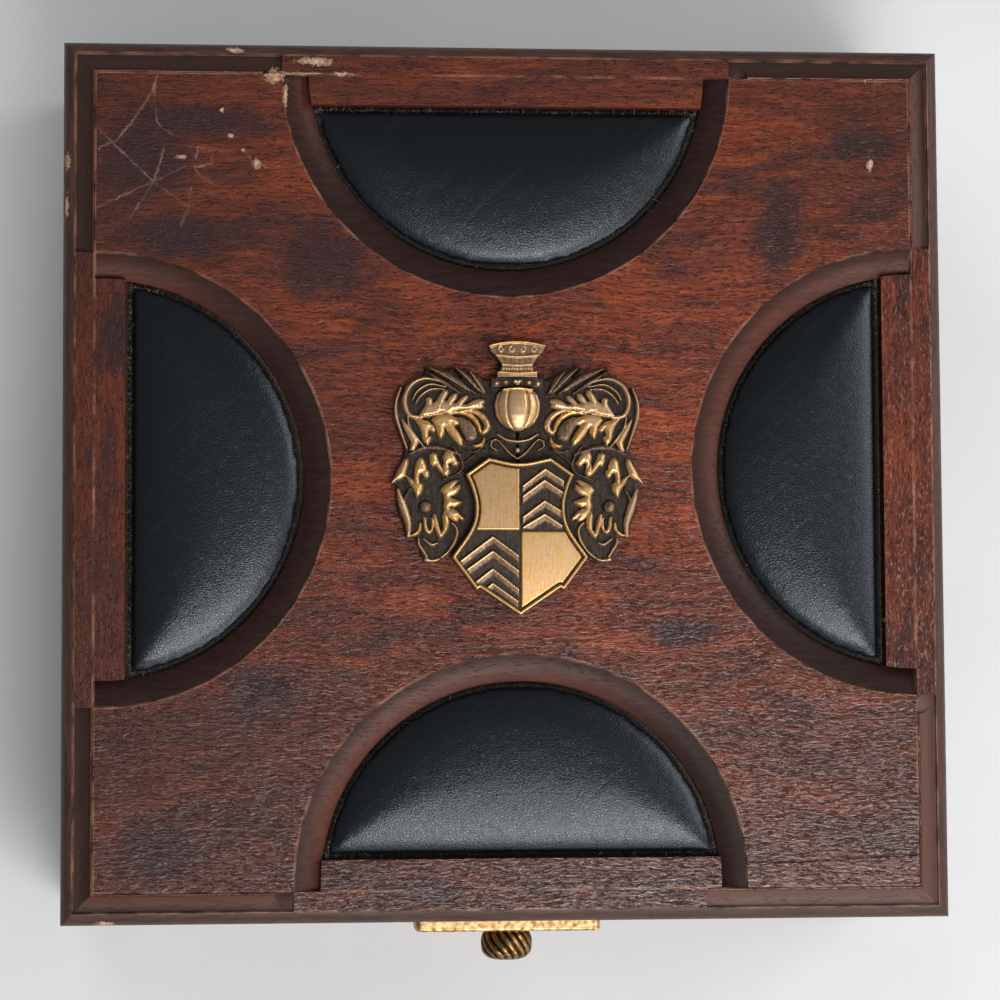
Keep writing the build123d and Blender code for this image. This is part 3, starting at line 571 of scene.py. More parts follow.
def leather_pad(side, material):
    """Pad of one side: merged and remeshed copy of the CAD pad, swollen and smoothed."""
    node = nodes["pad_" + side]
    shape = bmesh.new()
    shape.from_mesh(node.data)
    bmesh.ops.remove_doubles(shape, verts=shape.verts, dist=1e-5)
    mesh = bpy.data.meshes.new("leather_pad_" + side)
    shape.to_mesh(mesh)
    shape.free()
    mesh.materials.clear()
    mesh.materials.append(material)
    piece = bpy.data.objects.new("leather_pad_" + side, mesh)
    scene.collection.objects.link(piece)
    remesh = piece.modifiers.new("Remesh", "REMESH")
    remesh.mode = "VOXEL"
    remesh.voxel_size = 1.5 * MM
    remesh.use_smooth_shade = True
    shown = piece.evaluated_get(bpy.context.evaluated_depsgraph_get())
    remeshed = bpy.data.meshes.new_from_object(shown)
    piece.modifiers.clear()
    piece.data = remeshed
    count = len(remeshed.vertices)
    start = np.empty(count * 3, np.float32)
    remeshed.vertices.foreach_get("co", start)
    start = start.reshape(-1, 3)
    low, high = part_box("pad_" + side)
    height = (start[:, 2] - low[2]) / (high[2] - low[2])
    swollen = inflate(piece, height < 0.16, 4.0)
    moved = swollen - start
    length = np.linalg.norm(moved, axis=1, keepdims=True)
    cap = 0.9 * MM
    start = start + moved * np.minimum(1.0, cap / np.maximum(length, 1e-9))
    remeshed.vertices.foreach_set("co", start.ravel().astype(np.float32))
    remeshed.update()
    smooth = piece.modifiers.new("Smooth", "SMOOTH")
    smooth.factor = 0.5
    smooth.iterations = 6
    finer = piece.modifiers.new("Subdivision", "SUBSURF")
    finer.levels = 1
    finer.render_levels = 1
    remeshed.polygons.foreach_set("use_smooth", np.ones(len(remeshed.polygons), bool))
    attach(piece, "lid")
    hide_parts("pad_" + side)
    return piece


def black_leather():
    """Black calf, pebble grained: cells of about 0.7 mm parted by fine creases."""
    material, node, shader = finish_named("pebbled_black_leather")
    place = node("TexCoord", out="Object")
    wobble = node("TexNoise", {"Vector": place, "Scale": 320.0, "Detail": 1.0}, out="Color")
    wobble = node("VectorMath", {0: wobble, "Scale": 0.0011}, operation="SCALE")
    warped = node("VectorMath", {0: place, 1: wobble}, operation="ADD")
    gap = node("TexVoronoi", {"Vector": warped, "Scale": 1000 / 0.72}, feature="DISTANCE_TO_EDGE")
    pebble = node("MapRange", {"Value": gap, "From Max": 0.32}, **EASED)
    soft = node("TexNoise", {"Vector": place, "Scale": 1000 / 5.0, "Detail": 3.0})
    # Old creases run slantwise where the leather has been rubbed.
    turned = node("Mapping", {"Vector": place, "Rotation": (0, 0, -0.75)})
    slant = node("Mapping", {"Vector": turned, "Scale": (1000 / 30, 1000 / 2.2, 1000 / 2.2)})
    crease = node("TexNoise", {"Vector": slant, "Scale": 1.0, "Detail": 2.0})
    crease = node("MapRange", {"Value": crease, "From Min": 0.60, "From Max": 0.74})
    colour = node("Mix", {0: pebble, 6: "#030508", 7: "#060a10"}, **COLOUR_MIX)
    share = node("Math", {0: crease, 1: 0.12}, operation="MULTIPLY")
    colour = node("Mix", {0: share, 6: colour, 7: "#2a2e33"}, **COLOUR_MIX)
    fill(shader, {"Base Color": colour, "Specular Tint": "#eef7ff"})
    rough = node("MapRange", {"Value": pebble, "To Min": 0.36, "To Max": 0.24})
    fill(shader, {"Roughness": rough})
    grain = node("Bump", {"Height": pebble, "Distance": 0.00003, "Strength": 1.0})
    folds = node("Math", {0: crease, 1: -0.25, 2: soft}, operation="MULTIPLY_ADD")
    grain = node("Bump", {"Height": folds, "Distance": 0.00012, "Strength": 0.6, "Normal": grain})
    fill(shader, {"Normal": grain})
    return material


leather = black_leather()
pads = {side: leather_pad(side, leather) for side in ("front", "back", "left", "right")}
print("pads", {side: len(pad.data.vertices) for side, pad in pads.items()})


# %% [markdown]
# ## Frayed edges
#
# The pads' cut edges have frayed: short black fibres stand between the leather and the wood all
# round, and worn grey-brown ones show at the corners and along two of the straight edges. Each
# fibre is a thin three-sided strand along a curve that leans over as it rises, and all of them
# are computed together.

# %% Fibres round the pads
def pad_rim(side, count, rng):
    """Points on the outline of a pad's foot and the flat direction out of it: the straight edge,
    then the arc, in the proportions of their lengths."""
    radius = bite_radius - 1.0 * MM
    straight = ledge + 1.0 * MM
    shift, inset = SIDES[side][3]
    half_chord = np.sqrt(radius**2 - (straight - inset) ** 2)
    opening = np.arctan2(straight - inset, half_chord)
    arc_length = (np.pi - 2 * opening) * radius
    share = rng.random(count) * (2 * half_chord + arc_length)
    on_line = share < 2 * half_chord
    angle = opening + (share - 2 * half_chord) / radius
    a = np.where(on_line, share - half_chord, radius * np.cos(angle))
    b = np.where(on_line, straight, inset + radius * np.sin(angle))
    out_a = np.where(on_line, 0.0, np.cos(angle))
    out_b = np.where(on_line, -1.0, np.sin(angle))
    flat = on_side(side, a + shift, b)
    out = on_side(side, out_a, out_b) - on_side(side, 0 * a, 0 * b)
    corner = np.abs(np.abs(a) - half_chord) + np.abs(b - straight)
    return flat, out, on_line, corner


def strands(root, lean, rise, radius):
    """Three-sided strands: each point is root + t lean + (1 - (1 - t)^2) rise, for t from 0 to 1,
    and the side drawn in to the tip."""
    t = np.linspace(0, 1, 4)
    risen = 1 - (1 - t[None, :, None]) ** 2
    line = root[:, None, :] + t[None, :, None] * lean[:, None, :] + risen * rise[:, None, :]
    side = np.cross(lean, rise)
    side /= np.linalg.norm(side, axis=1, keepdims=True) + 1e-12
    other = np.cross(side, rise)
    other /= np.linalg.norm(other, axis=1, keepdims=True) + 1e-12
    angle = np.arange(3) * 2 * np.pi / 3
    ring = np.cos(angle)[:, None, None] * side[None] + np.sin(angle)[:, None, None] * other[None]
    width = radius[:, None] * (1 - 0.85 * t)[None, :]
    points = line[:, :, None, :] + width[:, :, None, None] * ring.transpose(1, 0, 2)[:, None, :, :]
    base = (np.arange(len(root)) * 12)[:, None, None]
    quads = (base + grid_faces(4, 3, wrap=True)[None]).reshape(-1, 4)
    triangles = np.concatenate([base[:, 0] + np.array([0, 2, 1]), base[:, 0] + np.array([9, 10, 11])])
    capped = np.concatenate([quads[:, [0, 1, 2]], quads[:, [0, 2, 3]], triangles])
    return points.reshape(-1, 3), capped


def fibre_finish(name, hex_dark, hex_light):
    """Dull cotton fibre whose shade changes from place to place."""
    material, node, shader = finish_named(name, 0.9)
    tint = node("TexNoise", {"Vector": node("TexCoord", out="Object"), "Scale": 700.0})
    colour = node("ValToRGB", {0: tint}, stops=((0.35, hex_dark), (0.65, hex_light)))
    fill(shader, {"Base Color": colour})
    return material


# Kind of fibre, how many are tried round a pad, and the greatest rise in mm
FIBRES = (("dark", 2600, 1.1), ("worn", 1500, 1.5))


def fray(side, seed):
    """Black fibres all round a pad, and worn ones where the edge is bare."""
    rng = np.random.default_rng(seed)
    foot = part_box("pad_" + side)[0][2]
    pieces = []
    for kind, count, reach in FIBRES:
        flat, out, on_line, corner = pad_rim(side, count, rng)
        if kind == "worn":
            often = np.where(on_line & (side in ("back", "left")), 0.55, 0.04)
            bare = rng.random(count) < often + 0.9 * np.exp(-corner / (7 * MM))
            flat, out = flat[bare], out[bare]
        n = len(flat)
        level = foot + rng.uniform(0.2, 1.8, n) * MM
        root = np.column_stack([flat - out * 0.5 * MM, level])
        swirl = rng.normal(0, 0.55, (n, 2)) * MM
        outward = out * (rng.uniform(0.1, 0.75, n) * MM)[:, None]
        lean = np.column_stack([outward + swirl, rng.normal(0, 0.1, n) * MM])
        rise = np.column_stack([rng.normal(0, 0.25, (n, 2)) * MM, rng.uniform(0.5, reach, n) * MM])
        points, faces = strands(root, lean, rise, rng.uniform(0.05, 0.09, n) * MM)
        finish = dark_fibre if kind == "dark" else worn_fibre
        piece = put_mesh(f"fray_{kind}_{side}", points, faces, finish, "lid", smooth=False)
        pieces.append(piece)
    return pieces


dark_fibre = fibre_finish("black_cotton_fibre", "#0a0b0c", "#1d1f20")
worn_fibre = fibre_finish("worn_cotton_fibre", "#3a3832", "#847c70")
frays = [fray(side, 11 + number) for number, side in enumerate(pads)]
print("frayed edges", sum(len(p.data.polygons) for pair in frays for p in pair), "faces")


# %% [markdown]
# ## The cast ornament
#
# The ornament is one casting, pressed on the lid: scrolled mantling with lobed leaves, a ribbed
# helm, a coronet and a quartered shield with chevrons. A carver would build it leaf by leaf, and
# so does this cell. The relief is a height over a fine flat grid. Each leaf is an outline that
# rises like a pillow, each fold is a curve with a width and a rounded section, and the highest
# form wins at every point. The tables give the left half in mm from the ornament's own axis.

# %% Leaves of the mantling, as outlines on the left side
LEAVES = {
    "upper leaf": (0.80, (
        (28.1, 17.8), (27.5, 18.9), (26.6, 20.2), (26.0, 21.3), (26.0, 22.8), (25.2, 23.2), (24.4, 22.7),
        (24.3, 21.4), (23.1, 22.1), (22.0, 24.0), (21.0, 25.2), (20.0, 25.1), (19.9, 24.1), (20.9, 22.2),
        (20.1, 22.0), (19.1, 23.5), (18.1, 24.3), (17.2, 24.1), (17.4, 22.8), (18.5, 21.4), (17.4, 21.5),
        (16.0, 23.0), (14.9, 23.7), (14.1, 23.5), (14.6, 22.5), (15.7, 21.1), (14.3, 21.0), (12.7, 22.2),
        (11.0, 22.7), (9.5, 22.4), (9.4, 21.8), (10.0, 21.2), (9.6, 20.6), (10.6, 20.0), (12.1, 19.8),
        (13.9, 19.7), (16.5, 19.5), (18.2, 19.1), (19.4, 18.3), (21.7, 18.7), (23.4, 17.8), (25.2, 17.5),
        (26.9, 17.4),
    )),
    "outer curl": (0.86, (
        (16.5, 19.5), (13.9, 19.9), (11.5, 19.5), (9.5, 18.4), (8.2, 16.6), (7.7, 14.9), (8.4, 13.4),
        (9.7, 12.6), (10.6, 12.9), (9.7, 13.9), (9.3, 15.0), (9.9, 16.6), (11.2, 17.9), (13.0, 18.9),
        (14.7, 19.1),
    )),
    "inner curl": (0.97, (
        (19.5, 18.3), (17.9, 19.2), (15.3, 19.5), (13.2, 18.6), (11.5, 16.9), (10.5, 14.9), (10.3, 13.2),
        (11.0, 13.4), (11.6, 15.0), (13.0, 16.9), (15.0, 18.1), (17.0, 18.5),
    )),
    "fan": (0.92, (
        (24.6, 16.7), (23.1, 18.0), (21.4, 18.5), (19.4, 18.2), (18.1, 17.5), (16.8, 16.3), (16.8, 15.4),
        (17.9, 15.2), (18.8, 15.7), (18.2, 14.9), (16.8, 13.1), (15.7, 11.1), (15.8, 9.5), (16.6, 9.6),
        (17.9, 10.8), (19.4, 12.6), (20.5, 14.3), (20.9, 14.6), (20.9, 13.1), (21.4, 12.1), (22.1, 11.5),
        (22.8, 12.9), (23.1, 14.6),
    )),
    "left lobe": (0.88, (
        (29.3, 16.9), (27.5, 16.7), (25.3, 16.2), (24.0, 15.0), (23.5, 14.2), (23.7, 13.4), (24.6, 13.5),
        (25.0, 14.3), (25.4, 13.4), (25.6, 12.0), (24.8, 11.9), (24.9, 10.8), (25.6, 9.6), (26.6, 10.3),
        (27.2, 11.6), (27.4, 13.1), (28.1, 15.0),
    )),
    "left tail": (0.82, (
        (33.0, 16.9), (31.4, 15.2), (29.8, 13.1), (28.6, 11.2), (28.4, 10.0), (29.2, 8.6), (29.8, 8.0),
        (30.6, 8.0), (30.3, 10.3), (31.3, 12.3), (32.4, 14.6),
    )),
    "low tip": (0.95, (
        (12.7, 9.4), (11.2, 9.8), (10.2, 10.3), (9.6, 11.6), (9.3, 10.8), (9.9, 9.6), (10.8, 9.0),
        (12.1, 8.7),
    )),
    "lump": (0.38, (
        (18.2, 17.5), (15.9, 17.5), (13.6, 16.3), (12.1, 14.6), (11.6, 12.9), (11.8, 11.4), (13.0, 10.7),
        (14.4, 10.8), (15.3, 12.3), (16.5, 14.6),
    )),
    "first drop": (0.86, (
        (36.0, -1.4), (34.8, 0.5), (34.1, 2.1), (33.1, 3.8), (32.3, 5.3), (31.4, 5.5), (31.3, 4.1),
        (31.8, 2.4), (32.2, 0.7), (33.4, -0.1), (34.8, -0.5),
    )),
    "second drop": (0.88, (
        (31.8, 0.7), (31.0, -1.0), (29.8, -2.9), (28.7, -5.3), (27.8, -4.3), (27.2, -3.1), (27.3, -1.7),
        (28.1, -1.2), (28.3, 0.2), (28.0, 1.4), (27.2, 1.5), (26.7, 0.6), (26.1, 0.2), (25.4, 0.7),
        (25.4, 1.9), (26.1, 2.6), (26.3, 3.8), (27.0, 5.5), (27.9, 5.9), (28.8, 4.8), (29.1, 3.1),
        (29.4, 1.2), (29.5, -1.2), (30.2, -0.2),
    )),
    "third drop": (0.88, (
        (25.2, 6.7), (24.2, 7.3), (23.2, 6.9), (22.9, 5.7), (22.3, 4.3), (21.3, 2.4), (21.1, 4.1),
        (20.3, 3.3), (19.6, 2.4), (19.4, 1.5), (20.1, 0.7), (20.9, 0.8), (21.8, 1.7), (22.8, 2.9),
        (23.5, 3.8), (24.3, 3.6), (24.9, 4.5),
    )),
    "fourth drop": (0.88, (
        (21.3, 6.1), (20.8, 7.4), (19.9, 7.8), (18.8, 7.4), (17.9, 6.2), (17.4, 5.1), (16.8, 4.4),
        (17.4, 3.6), (18.3, 3.7), (19.1, 4.5), (19.9, 4.1), (19.7, 3.1), (20.3, 3.3), (20.9, 4.3),
    )),
    "side petals": (0.90, (
        (22.0, -3.4), (21.1, -2.2), (19.4, -1.2), (17.7, -0.5), (16.8, -0.6), (17.7, -1.7), (18.4, -2.4),
        (17.4, -2.2), (16.5, -1.7), (16.3, -2.8), (17.2, -4.1), (18.2, -4.8), (18.9, -5.0), (19.4, -5.3),
        (18.6, -5.8), (17.3, -6.2), (16.2, -6.6), (16.0, -6.9), (17.0, -7.7), (18.2, -8.3), (19.1, -8.1),
        (19.4, -8.6), (18.2, -8.9), (17.0, -9.6), (16.0, -10.8), (15.3, -11.6), (15.7, -12.0), (17.0, -11.3),
        (17.4, -11.0), (17.0, -11.6), (17.1, -12.3), (17.9, -12.3), (18.9, -11.8), (19.9, -10.8),
        (20.8, -9.3), (21.2, -7.9), (20.9, -6.5), (21.1, -4.6),
    )),
    "lower petals": (0.90, (
        (24.1, -10.3), (23.6, -10.3), (23.0, -12.0), (22.5, -13.9), (22.0, -15.6), (21.3, -14.6),
        (21.3, -12.7), (21.5, -10.8), (21.1, -9.6), (20.1, -10.8), (19.6, -12.4), (19.9, -14.1),
        (20.6, -15.4), (21.5, -16.6), (22.3, -16.9), (23.0, -16.0), (23.5, -14.1), (24.0, -12.2),
    )),
    "middle petals": (0.86, (
        (26.9, -11.0), (26.3, -11.3), (26.1, -13.4), (25.4, -15.1), (24.7, -14.6), (24.5, -12.7),
        (24.6, -11.3), (24.1, -11.7), (24.1, -13.9), (24.6, -15.2), (25.4, -15.8), (26.3, -15.2),
        (26.8, -13.6),
    )),
    "outer petal": (0.90, (
        (30.7, -16.4), (29.5, -15.8), (28.4, -14.7), (28.0, -12.7), (27.6, -12.9), (27.7, -14.6),
        (28.5, -15.7), (29.6, -16.3),
    )),
    "edge": (0.72, (
        (34.5, -3.1), (34.0, -3.1), (33.1, -5.0), (31.9, -7.4), (31.0, -10.1), (30.5, -12.7), (30.6, -15.1),
        (31.1, -16.8), (31.6, -16.8), (31.6, -15.1), (31.8, -13.2), (32.4, -11.3), (33.4, -8.9), (34.1, -6.2),
    )),
    "foot": (0.90, (
        (26.7, -23.0), (26.1, -22.5), (25.4, -23.2), (24.0, -23.3), (22.5, -22.9), (22.5, -23.2),
        (24.0, -23.7), (25.6, -23.7), (26.7, -23.5),
    )),
}
GROUND = (
    (0.0, 29.0), (6.5, 29.0), (8.9, 28.5), (10.1, 29.3), (11.8, 29.6), (14.1, 31.3), (16.0, 29.3),
    (18.5, 32.3), (20.1, 30.7), (24.1, 30.7), (26.3, 32.3), (26.7, 29.9), (29.9, 28.5), (32.4, 26.4),
    (34.0, 23.2), (35.0, 19.1), (34.7, 15.0), (33.5, 11.5), (32.4, 8.5), (33.0, 5.6), (34.8, 2.7),
    (36.2, -1.2), (34.7, -2.4), (34.9, -5.5), (34.2, -9.6), (32.8, -13.1), (31.8, -17.0), (29.1, -17.1),
    (28.4, -18.6), (27.9, -21.4), (26.5, -23.7), (23.4, -24.0), (20.1, -22.2), (17.2, -23.1), (6.5, -23.1),
    (0.0, -23.1),
)

# %% Strokes: shade, rise, then for each curve its points and half widths from end to end
STROKES = {
    "blades": (0.30, 1.5, (
        (((8.9, 24.1), (11.2, 27.9), (13.9, 31.0)), (0.5, 1.35, 0.2)),
        (((9.8, 24.2), (13.6, 28.5), (18.0, 32.1)), (0.5, 1.5, 0.2)),
        (((11.8, 24.2), (18.9, 29.0), (25.4, 31.8)), (0.5, 1.5, 0.2)),
        (((16.0, 24.2), (20.8, 27.4), (26.2, 30.7)), (0.5, 1.2, 0.2)),
    )),
    "blade edges": (0.85, 2.3, (
        (((9.6, 24.8), (11.9, 28.2), (13.9, 31.0)), (0.15, 0.28, 0.15)),
        (((11.0, 25.0), (14.6, 28.9), (18.0, 32.1)), (0.15, 0.28, 0.15)),
        (((13.8, 25.0), (19.6, 28.6), (25.4, 31.8)), (0.15, 0.28, 0.15)),
    )),
    "rolls": (0.80, 1.7, (
        (((20.5, 27.3), (26.0, 28.6), (30.0, 27.0), (32.0, 23.5), (31.9, 20.2), (30.4, 17.9), (27.4, 17.4)),
         (0.4, 1.0, 0.9)),
        (((20.5, 26.2), (25.0, 26.9), (28.4, 25.0), (29.9, 22.6)), (0.2, 0.5, 0.3)),
        (((21.0, 25.6), (24.8, 25.4), (27.6, 23.6), (29.0, 21.6)), (0.2, 0.5, 0.3)),
        (((33.2, 26.0), (34.6, 22.0), (34.6, 17.8), (33.0, 12.5), (31.6, 8.6)), (0.4, 0.8, 0.4)),
        (((31.4, 17.6), (30.7, 14.4), (28.4, 11.1), (26.6, 8.8)), (0.3, 0.65, 0.3)),
    )),
    "folds": (0.30, 1.4, (
        (((30.9, 6.9), (26.6, 8.7), (21.9, 8.6), (16.4, 6.8)), (0.7, 1.3, 0.7)),
        (((21.3, -0.4), (17.4, 1.2), (15.9, 2.6), (15.8, 4.6), (17.2, 7.4), (18.6, 9.2)), (0.4, 0.7, 0.4)),
        (((30.8, -3.0), (32.3, -6.7), (30.6, -11.4)), (0.5, 0.9, 0.4)),
        (((9.4, 8.4), (13.3, 5.9), (16.0, 3.4)), (0.3, 0.5, 0.3)),
        (((7.6, 11.0), (12.0, 7.6), (15.0, 8.2)), (0.3, 0.5, 0.3)),
    )),
    "scrolls": (0.82, 1.7, (
        (((28.4, -17.2), (28.2, -18.9), (27.1, -20.6), (26.1, -22.3)), (0.4, 0.65, 0.4)),
        (((18.9, -12.7), (17.7, -13.9), (17.3, -15.6), (17.9, -17.9), (19.1, -19.9), (20.3, -21.3),
          (22.0, -22.7)), (0.4, 0.8, 0.4)),
        (((27.0, -17.2), (24.7, -18.9), (22.9, -18.4)), (0.3, 0.6, 0.3)),
    )),
    "spine": (1.00, 2.4, (
        (((27.4, 17.6), (23.4, 18.2), (20.4, 19.0), (18.3, 20.6)), (0.2, 0.32, 0.15)),
        (((22.6, 18.4), (22.4, 20.4), (21.2, 23.4)), (0.1, 0.2, 0.1)),
        (((19.4, 19.0), (14.6, 19.4), (10.2, 20.8)), (0.1, 0.2, 0.1)),
    )),
    "collar": (0.75, 1.8, (
        (((5.8, 12.6), (3.1, 11.0), (0.0, 10.5)), (0.45, 0.65, 0.65)),
        (((4.1, 9.2), (5.9, 11.0), (7.3, 10.5), (7.5, 9.0), (5.8, 8.0)), (0.3, 0.41, 0.24)),
        (((4.9, 10.2), (2.4, 7.3), (0.0, 5.5)), (0.36, 0.53, 0.45)),
    )),
}
print(len(LEAVES), "leaves and", sum(len(group[2]) for group in STROKES.values()), "strokes on the left side")

# %% The grid and the ways to raise it
mount_x, mount_y = 2.4, 0.0
grid_step = 0.15
gx, gy = np.meshgrid(np.arange(-249, 250) * grid_step, np.arange(-267, 268) * grid_step)
height = np.zeros_like(gx)
tone = np.zeros_like(gx)


def raise_to(level, shade, where):
    """Where a new level is higher, it replaces the old one and brings its shade of gilding."""
    higher = where & (level > height)
    height[higher] = np.broadcast_to(level, height.shape)[higher]
    tone[higher] = shade


def window(points, reach):
    """Rows and columns of the grid within a reach of some points."""
    low, high = np.min(points, axis=0) - reach, np.max(points, axis=0) + reach
    rows = slice(*np.searchsorted(gy[:, 0], (low[1], high[1])))
    columns = slice(*np.searchsorted(gx[0], (low[0], high[0])))
    return rows, columns


def stroke(points, widths, foot, rise, shade, power=2.0, straight=False):
    """Raise a stroke. At a distance d from the curve, with half width w there, the level is
    foot + rise (1 - (d / w)^power)."""
    line = np.asarray(points, float)
    if straight:
        line = np.concatenate([np.linspace(a, b, 60) for a, b in zip(line[:-1], line[1:])])
    else:
        line = smooth_curve(line, 70)
    part = window(line, max(widths))
    away = np.hypot(gx[part][..., None] - line[:, 0], gy[part][..., None] - line[:, 1])
    d = away.min(-1)
    t = away.argmin(-1) / (len(line) - 1)
    w = np.interp(t, np.linspace(0, 1, len(widths)), widths)
    level = foot + rise * (1 - np.clip(d / w, 0, 1) ** power)
    higher = (d < w) & (level > height[part])
    height[part] = np.where(higher, level, height[part])
    tone[part] = np.where(higher, shade, tone[part])


def inside(outline, part=(slice(None), slice(None))):
    """Distance from grid points to a closed outline, positive inside: the least distance to an
    edge, with its sign from an even-odd count of the edges crossed on the way out."""
    x, y = gx[part], gy[part]
    outline = np.asarray(outline, float)
    least = np.full(x.shape, np.inf)
    odd = np.zeros(x.shape, bool)
    for (ax, ay), (bx, by) in zip(outline, np.roll(outline, -1, axis=0)):
        dx, dy = bx - ax, by - ay
        t = np.clip(((x - ax) * dx + (y - ay) * dy) / (dx * dx + dy * dy + 1e-12), 0, 1)
        least = np.minimum(least, np.hypot(x - ax - t * dx, y - ay - t * dy))
        if dy:
            odd ^= ((ay > y) != (by > y)) & (x < dx * (y - ay) / dy + ax)
    return np.where(odd, least, -least)


def pillow(outline, foot, rise, bevel, shade, grown=0.0):
    """Raise an outline, grown by a little, as a pillow: at a depth d inside it the level is
    foot + rise sqrt(1 - (1 - d / bevel)^2), and flat beyond the bevel."""
    part = window(outline, grown)
    depth = inside(outline, part) + grown
    level = foot + rise * np.sqrt(1 - (1 - np.clip(depth / bevel, 0, 1)) ** 2)
    higher = (depth > 0) & (level > height[part])
    height[part] = np.where(higher, level, height[part])
    tone[part] = np.where(higher, shade, tone[part])


def mirrored(half):
    """Closed outline from its right half, listed from the top down."""
    return list(half) + [(-x, y) for x, y in reversed(half)]


def dome(x, y, radius, foot, rise, shade):
    """Raise half a ball: foot + rise sqrt(1 - (distance / radius)^2)."""
    share = np.clip(1 - ((gx - x) ** 2 + (gy - y) ** 2) / radius**2, 0, 1)
    raise_to(foot + rise * np.sqrt(share), shade, share > 0)


print("grid", gx.shape)

# %% Mantling, raised on the left and mirrored to the right
pillow([(-x, y) for x, y in GROUND], 1.2, 1.2, 0.9, 0.14)
for shade, rise, curves in STROKES.values():
    for points, widths in curves:
        stroke([(-x, y) for x, y in points], widths, 2.1, rise, shade, power=1.6)
for shade, outline in LEAVES.values():
    pillow([(-x, y) for x, y in outline], 2.3, 1.7, 1.5, shade, grown=0.3)
dome(-26.3, -8.2, 1.85, 2.2, 2.4, 0.40)
flipped = height[:, ::-1] > height
height = np.where(flipped, height[:, ::-1], height)
tone = np.where(flipped, tone[:, ::-1], tone)
print("mantling up to", round(float(height.max()), 2), "mm")

# %% Shield
shield_x, quarter_y = 0.47, -15.1
side_curve = smooth_curve([(15.6, 1.0), (14.0, -2.6), (12.8, -8.2), (14.0, -14.3), (19.6, -22.6)], 24)
top_curve = smooth_curve([(-8.9, 5.8), (0.0, 4.2), (8.9, 5.8)], 17)[8:]
shield_half = [*map(tuple, top_curve), *map(tuple, side_curve), (12.5, -32.1), (11.5, -31.4), (0.0, -39.2)]
shield = inside([(x + shield_x, y) for x, y in mirrored(shield_half[1:])])
sx = gx - shield_x
# The whole shield is a little convex, so its lower half leans to the front.
bow = 1.8 * (1 - (sx**2 + (gy + 8.0) ** 2) / 34.0**2)
raise_to(3.6 + bow, 0.17, shield > 0)
rim = np.clip(1 - ((shield - 0.55) / 0.55) ** 2, 0, 1)
raise_to(3.7 + bow + 0.9 * np.sqrt(rim), 0.96, (shield > 0) & (rim > 0))
field = shield > 1.6
raise_to(4.0 + bow, 0.98, field & (sx < -0.3) & (gy > quarter_y + 0.3))
raise_to(4.0 + bow, 1.0, field & (sx > 0.3) & (gy < quarter_y - 0.3))
CHEVRONS = (
    ((0.6, -2.6), (7.2, 2.4), (12.7, -1.2)), ((0.6, -5.5), (7.0, -0.8), (12.3, -4.3)),
    ((0.7, -11.4), (7.0, -6.7), (12.2, -9.9)), ((0.7, -14.3), (7.0, -10.5), (12.0, -13.8)),
    ((-17.3, -24.0), (-7.9, -16.9), (-0.4, -22.4)), ((-15.6, -26.5), (-7.9, -21.0), (-0.4, -26.7)),
    ((-13.2, -30.1), (-7.9, -26.0), (-0.4, -32.0)), ((-11.1, -32.8), (-7.9, -30.1), (-0.6, -35.3)),
)
# Each chevron is a band with a bright upper arris that falls away downwards.
for feet_and_peak in CHEVRONS:
    (ax, ay), (px, py), (bx, by) = feet_and_peak
    line_y = np.where(sx < px, np.interp(sx, (ax, px), (ay, py)), np.interp(sx, (px, bx), (py, by)))
    below = line_y - gy
    level = 4.45 + bow - 0.32 * below
    in_quarter = (sx > 0.4) & (gy > quarter_y + 0.5) if px > 0 else (sx < -0.4) & (gy < quarter_y - 0.5)
    across = in_quarter & (sx > ax) & (sx < bx) & (shield > 1.25)
    raise_to(level, 0.42, across & (below > 0.25) & (below < 1.9))
    raise_to(level + 0.12, 0.95, across & (np.abs(below) <= 0.3))
print("shield", round(float(sx[shield > 0].max()), 1), "mm half wide")

# %% Helm, collar and coronet
helm_y = np.array((13.2, 14.4, 15.9, 17.9, 20.3, 22.0, 23.8, 24.8, 25.5))
helm_half = np.array((0.7, 3.4, 5.1, 6.3, 6.7, 6.6, 6.0, 5.2, 3.8))
w = np.interp(gy, helm_y, helm_half, left=0.01, right=0.01)
share = np.clip(gx / w, -1, 1)
turn = np.degrees(np.arcsin(share))
grooves = sum(np.exp(-(((turn - at) / 4.0) ** 2)) for at in (-60, -27, 27, 60))
helm = 2.6 + 4.1 * np.sqrt(w / 6.7) * np.sqrt(1 - share**2) - 0.5 * grooves
dome(0.0, 8.0, 0.9, 2.8, 1.3, 0.8)
crown_band = inside([(-7.7, 26.0), (-7.4, 28.9), (7.4, 28.9), (7.7, 26.0)])
raise_to(3.3, 0.2, crown_band > 0)
for x, y, radius in ((5.9, 27.2, 0.75), (3.3, 27.5, 0.7), (0.55, 27.8, 0.75)):
    dome(x, y, radius, 3.1, 0.9, 0.75)
    dome(-x, y, radius, 3.1, 0.9, 0.75)
dome(0.0, 27.0, 0.7, 3.1, 0.9, 0.75)
raise_to(helm, 0.86, (np.abs(gx) < w) & (gy > 13.2) & (gy < 25.5))
stroke([(-4.2, 25.2), (0.0, 25.6), (4.2, 25.2)], (0.4, 0.4), 5.2, 0.9, 1.0)
CORONET = (
    (0.6, 39.4), (4.1, 39.1), (8.3, 38.1), (7.7, 36.2), (6.5, 35.2), (4.5, 32.5), (4.9, 31.0), (5.9, 30.3),
    (5.9, 28.8),
)
coronet = inside(mirrored(CORONET))
raise_to(3.3 + 1.2 * np.sqrt(np.clip(1 - (gx / 9.5) ** 2, 0, 1)), 0.5, coronet > 0)
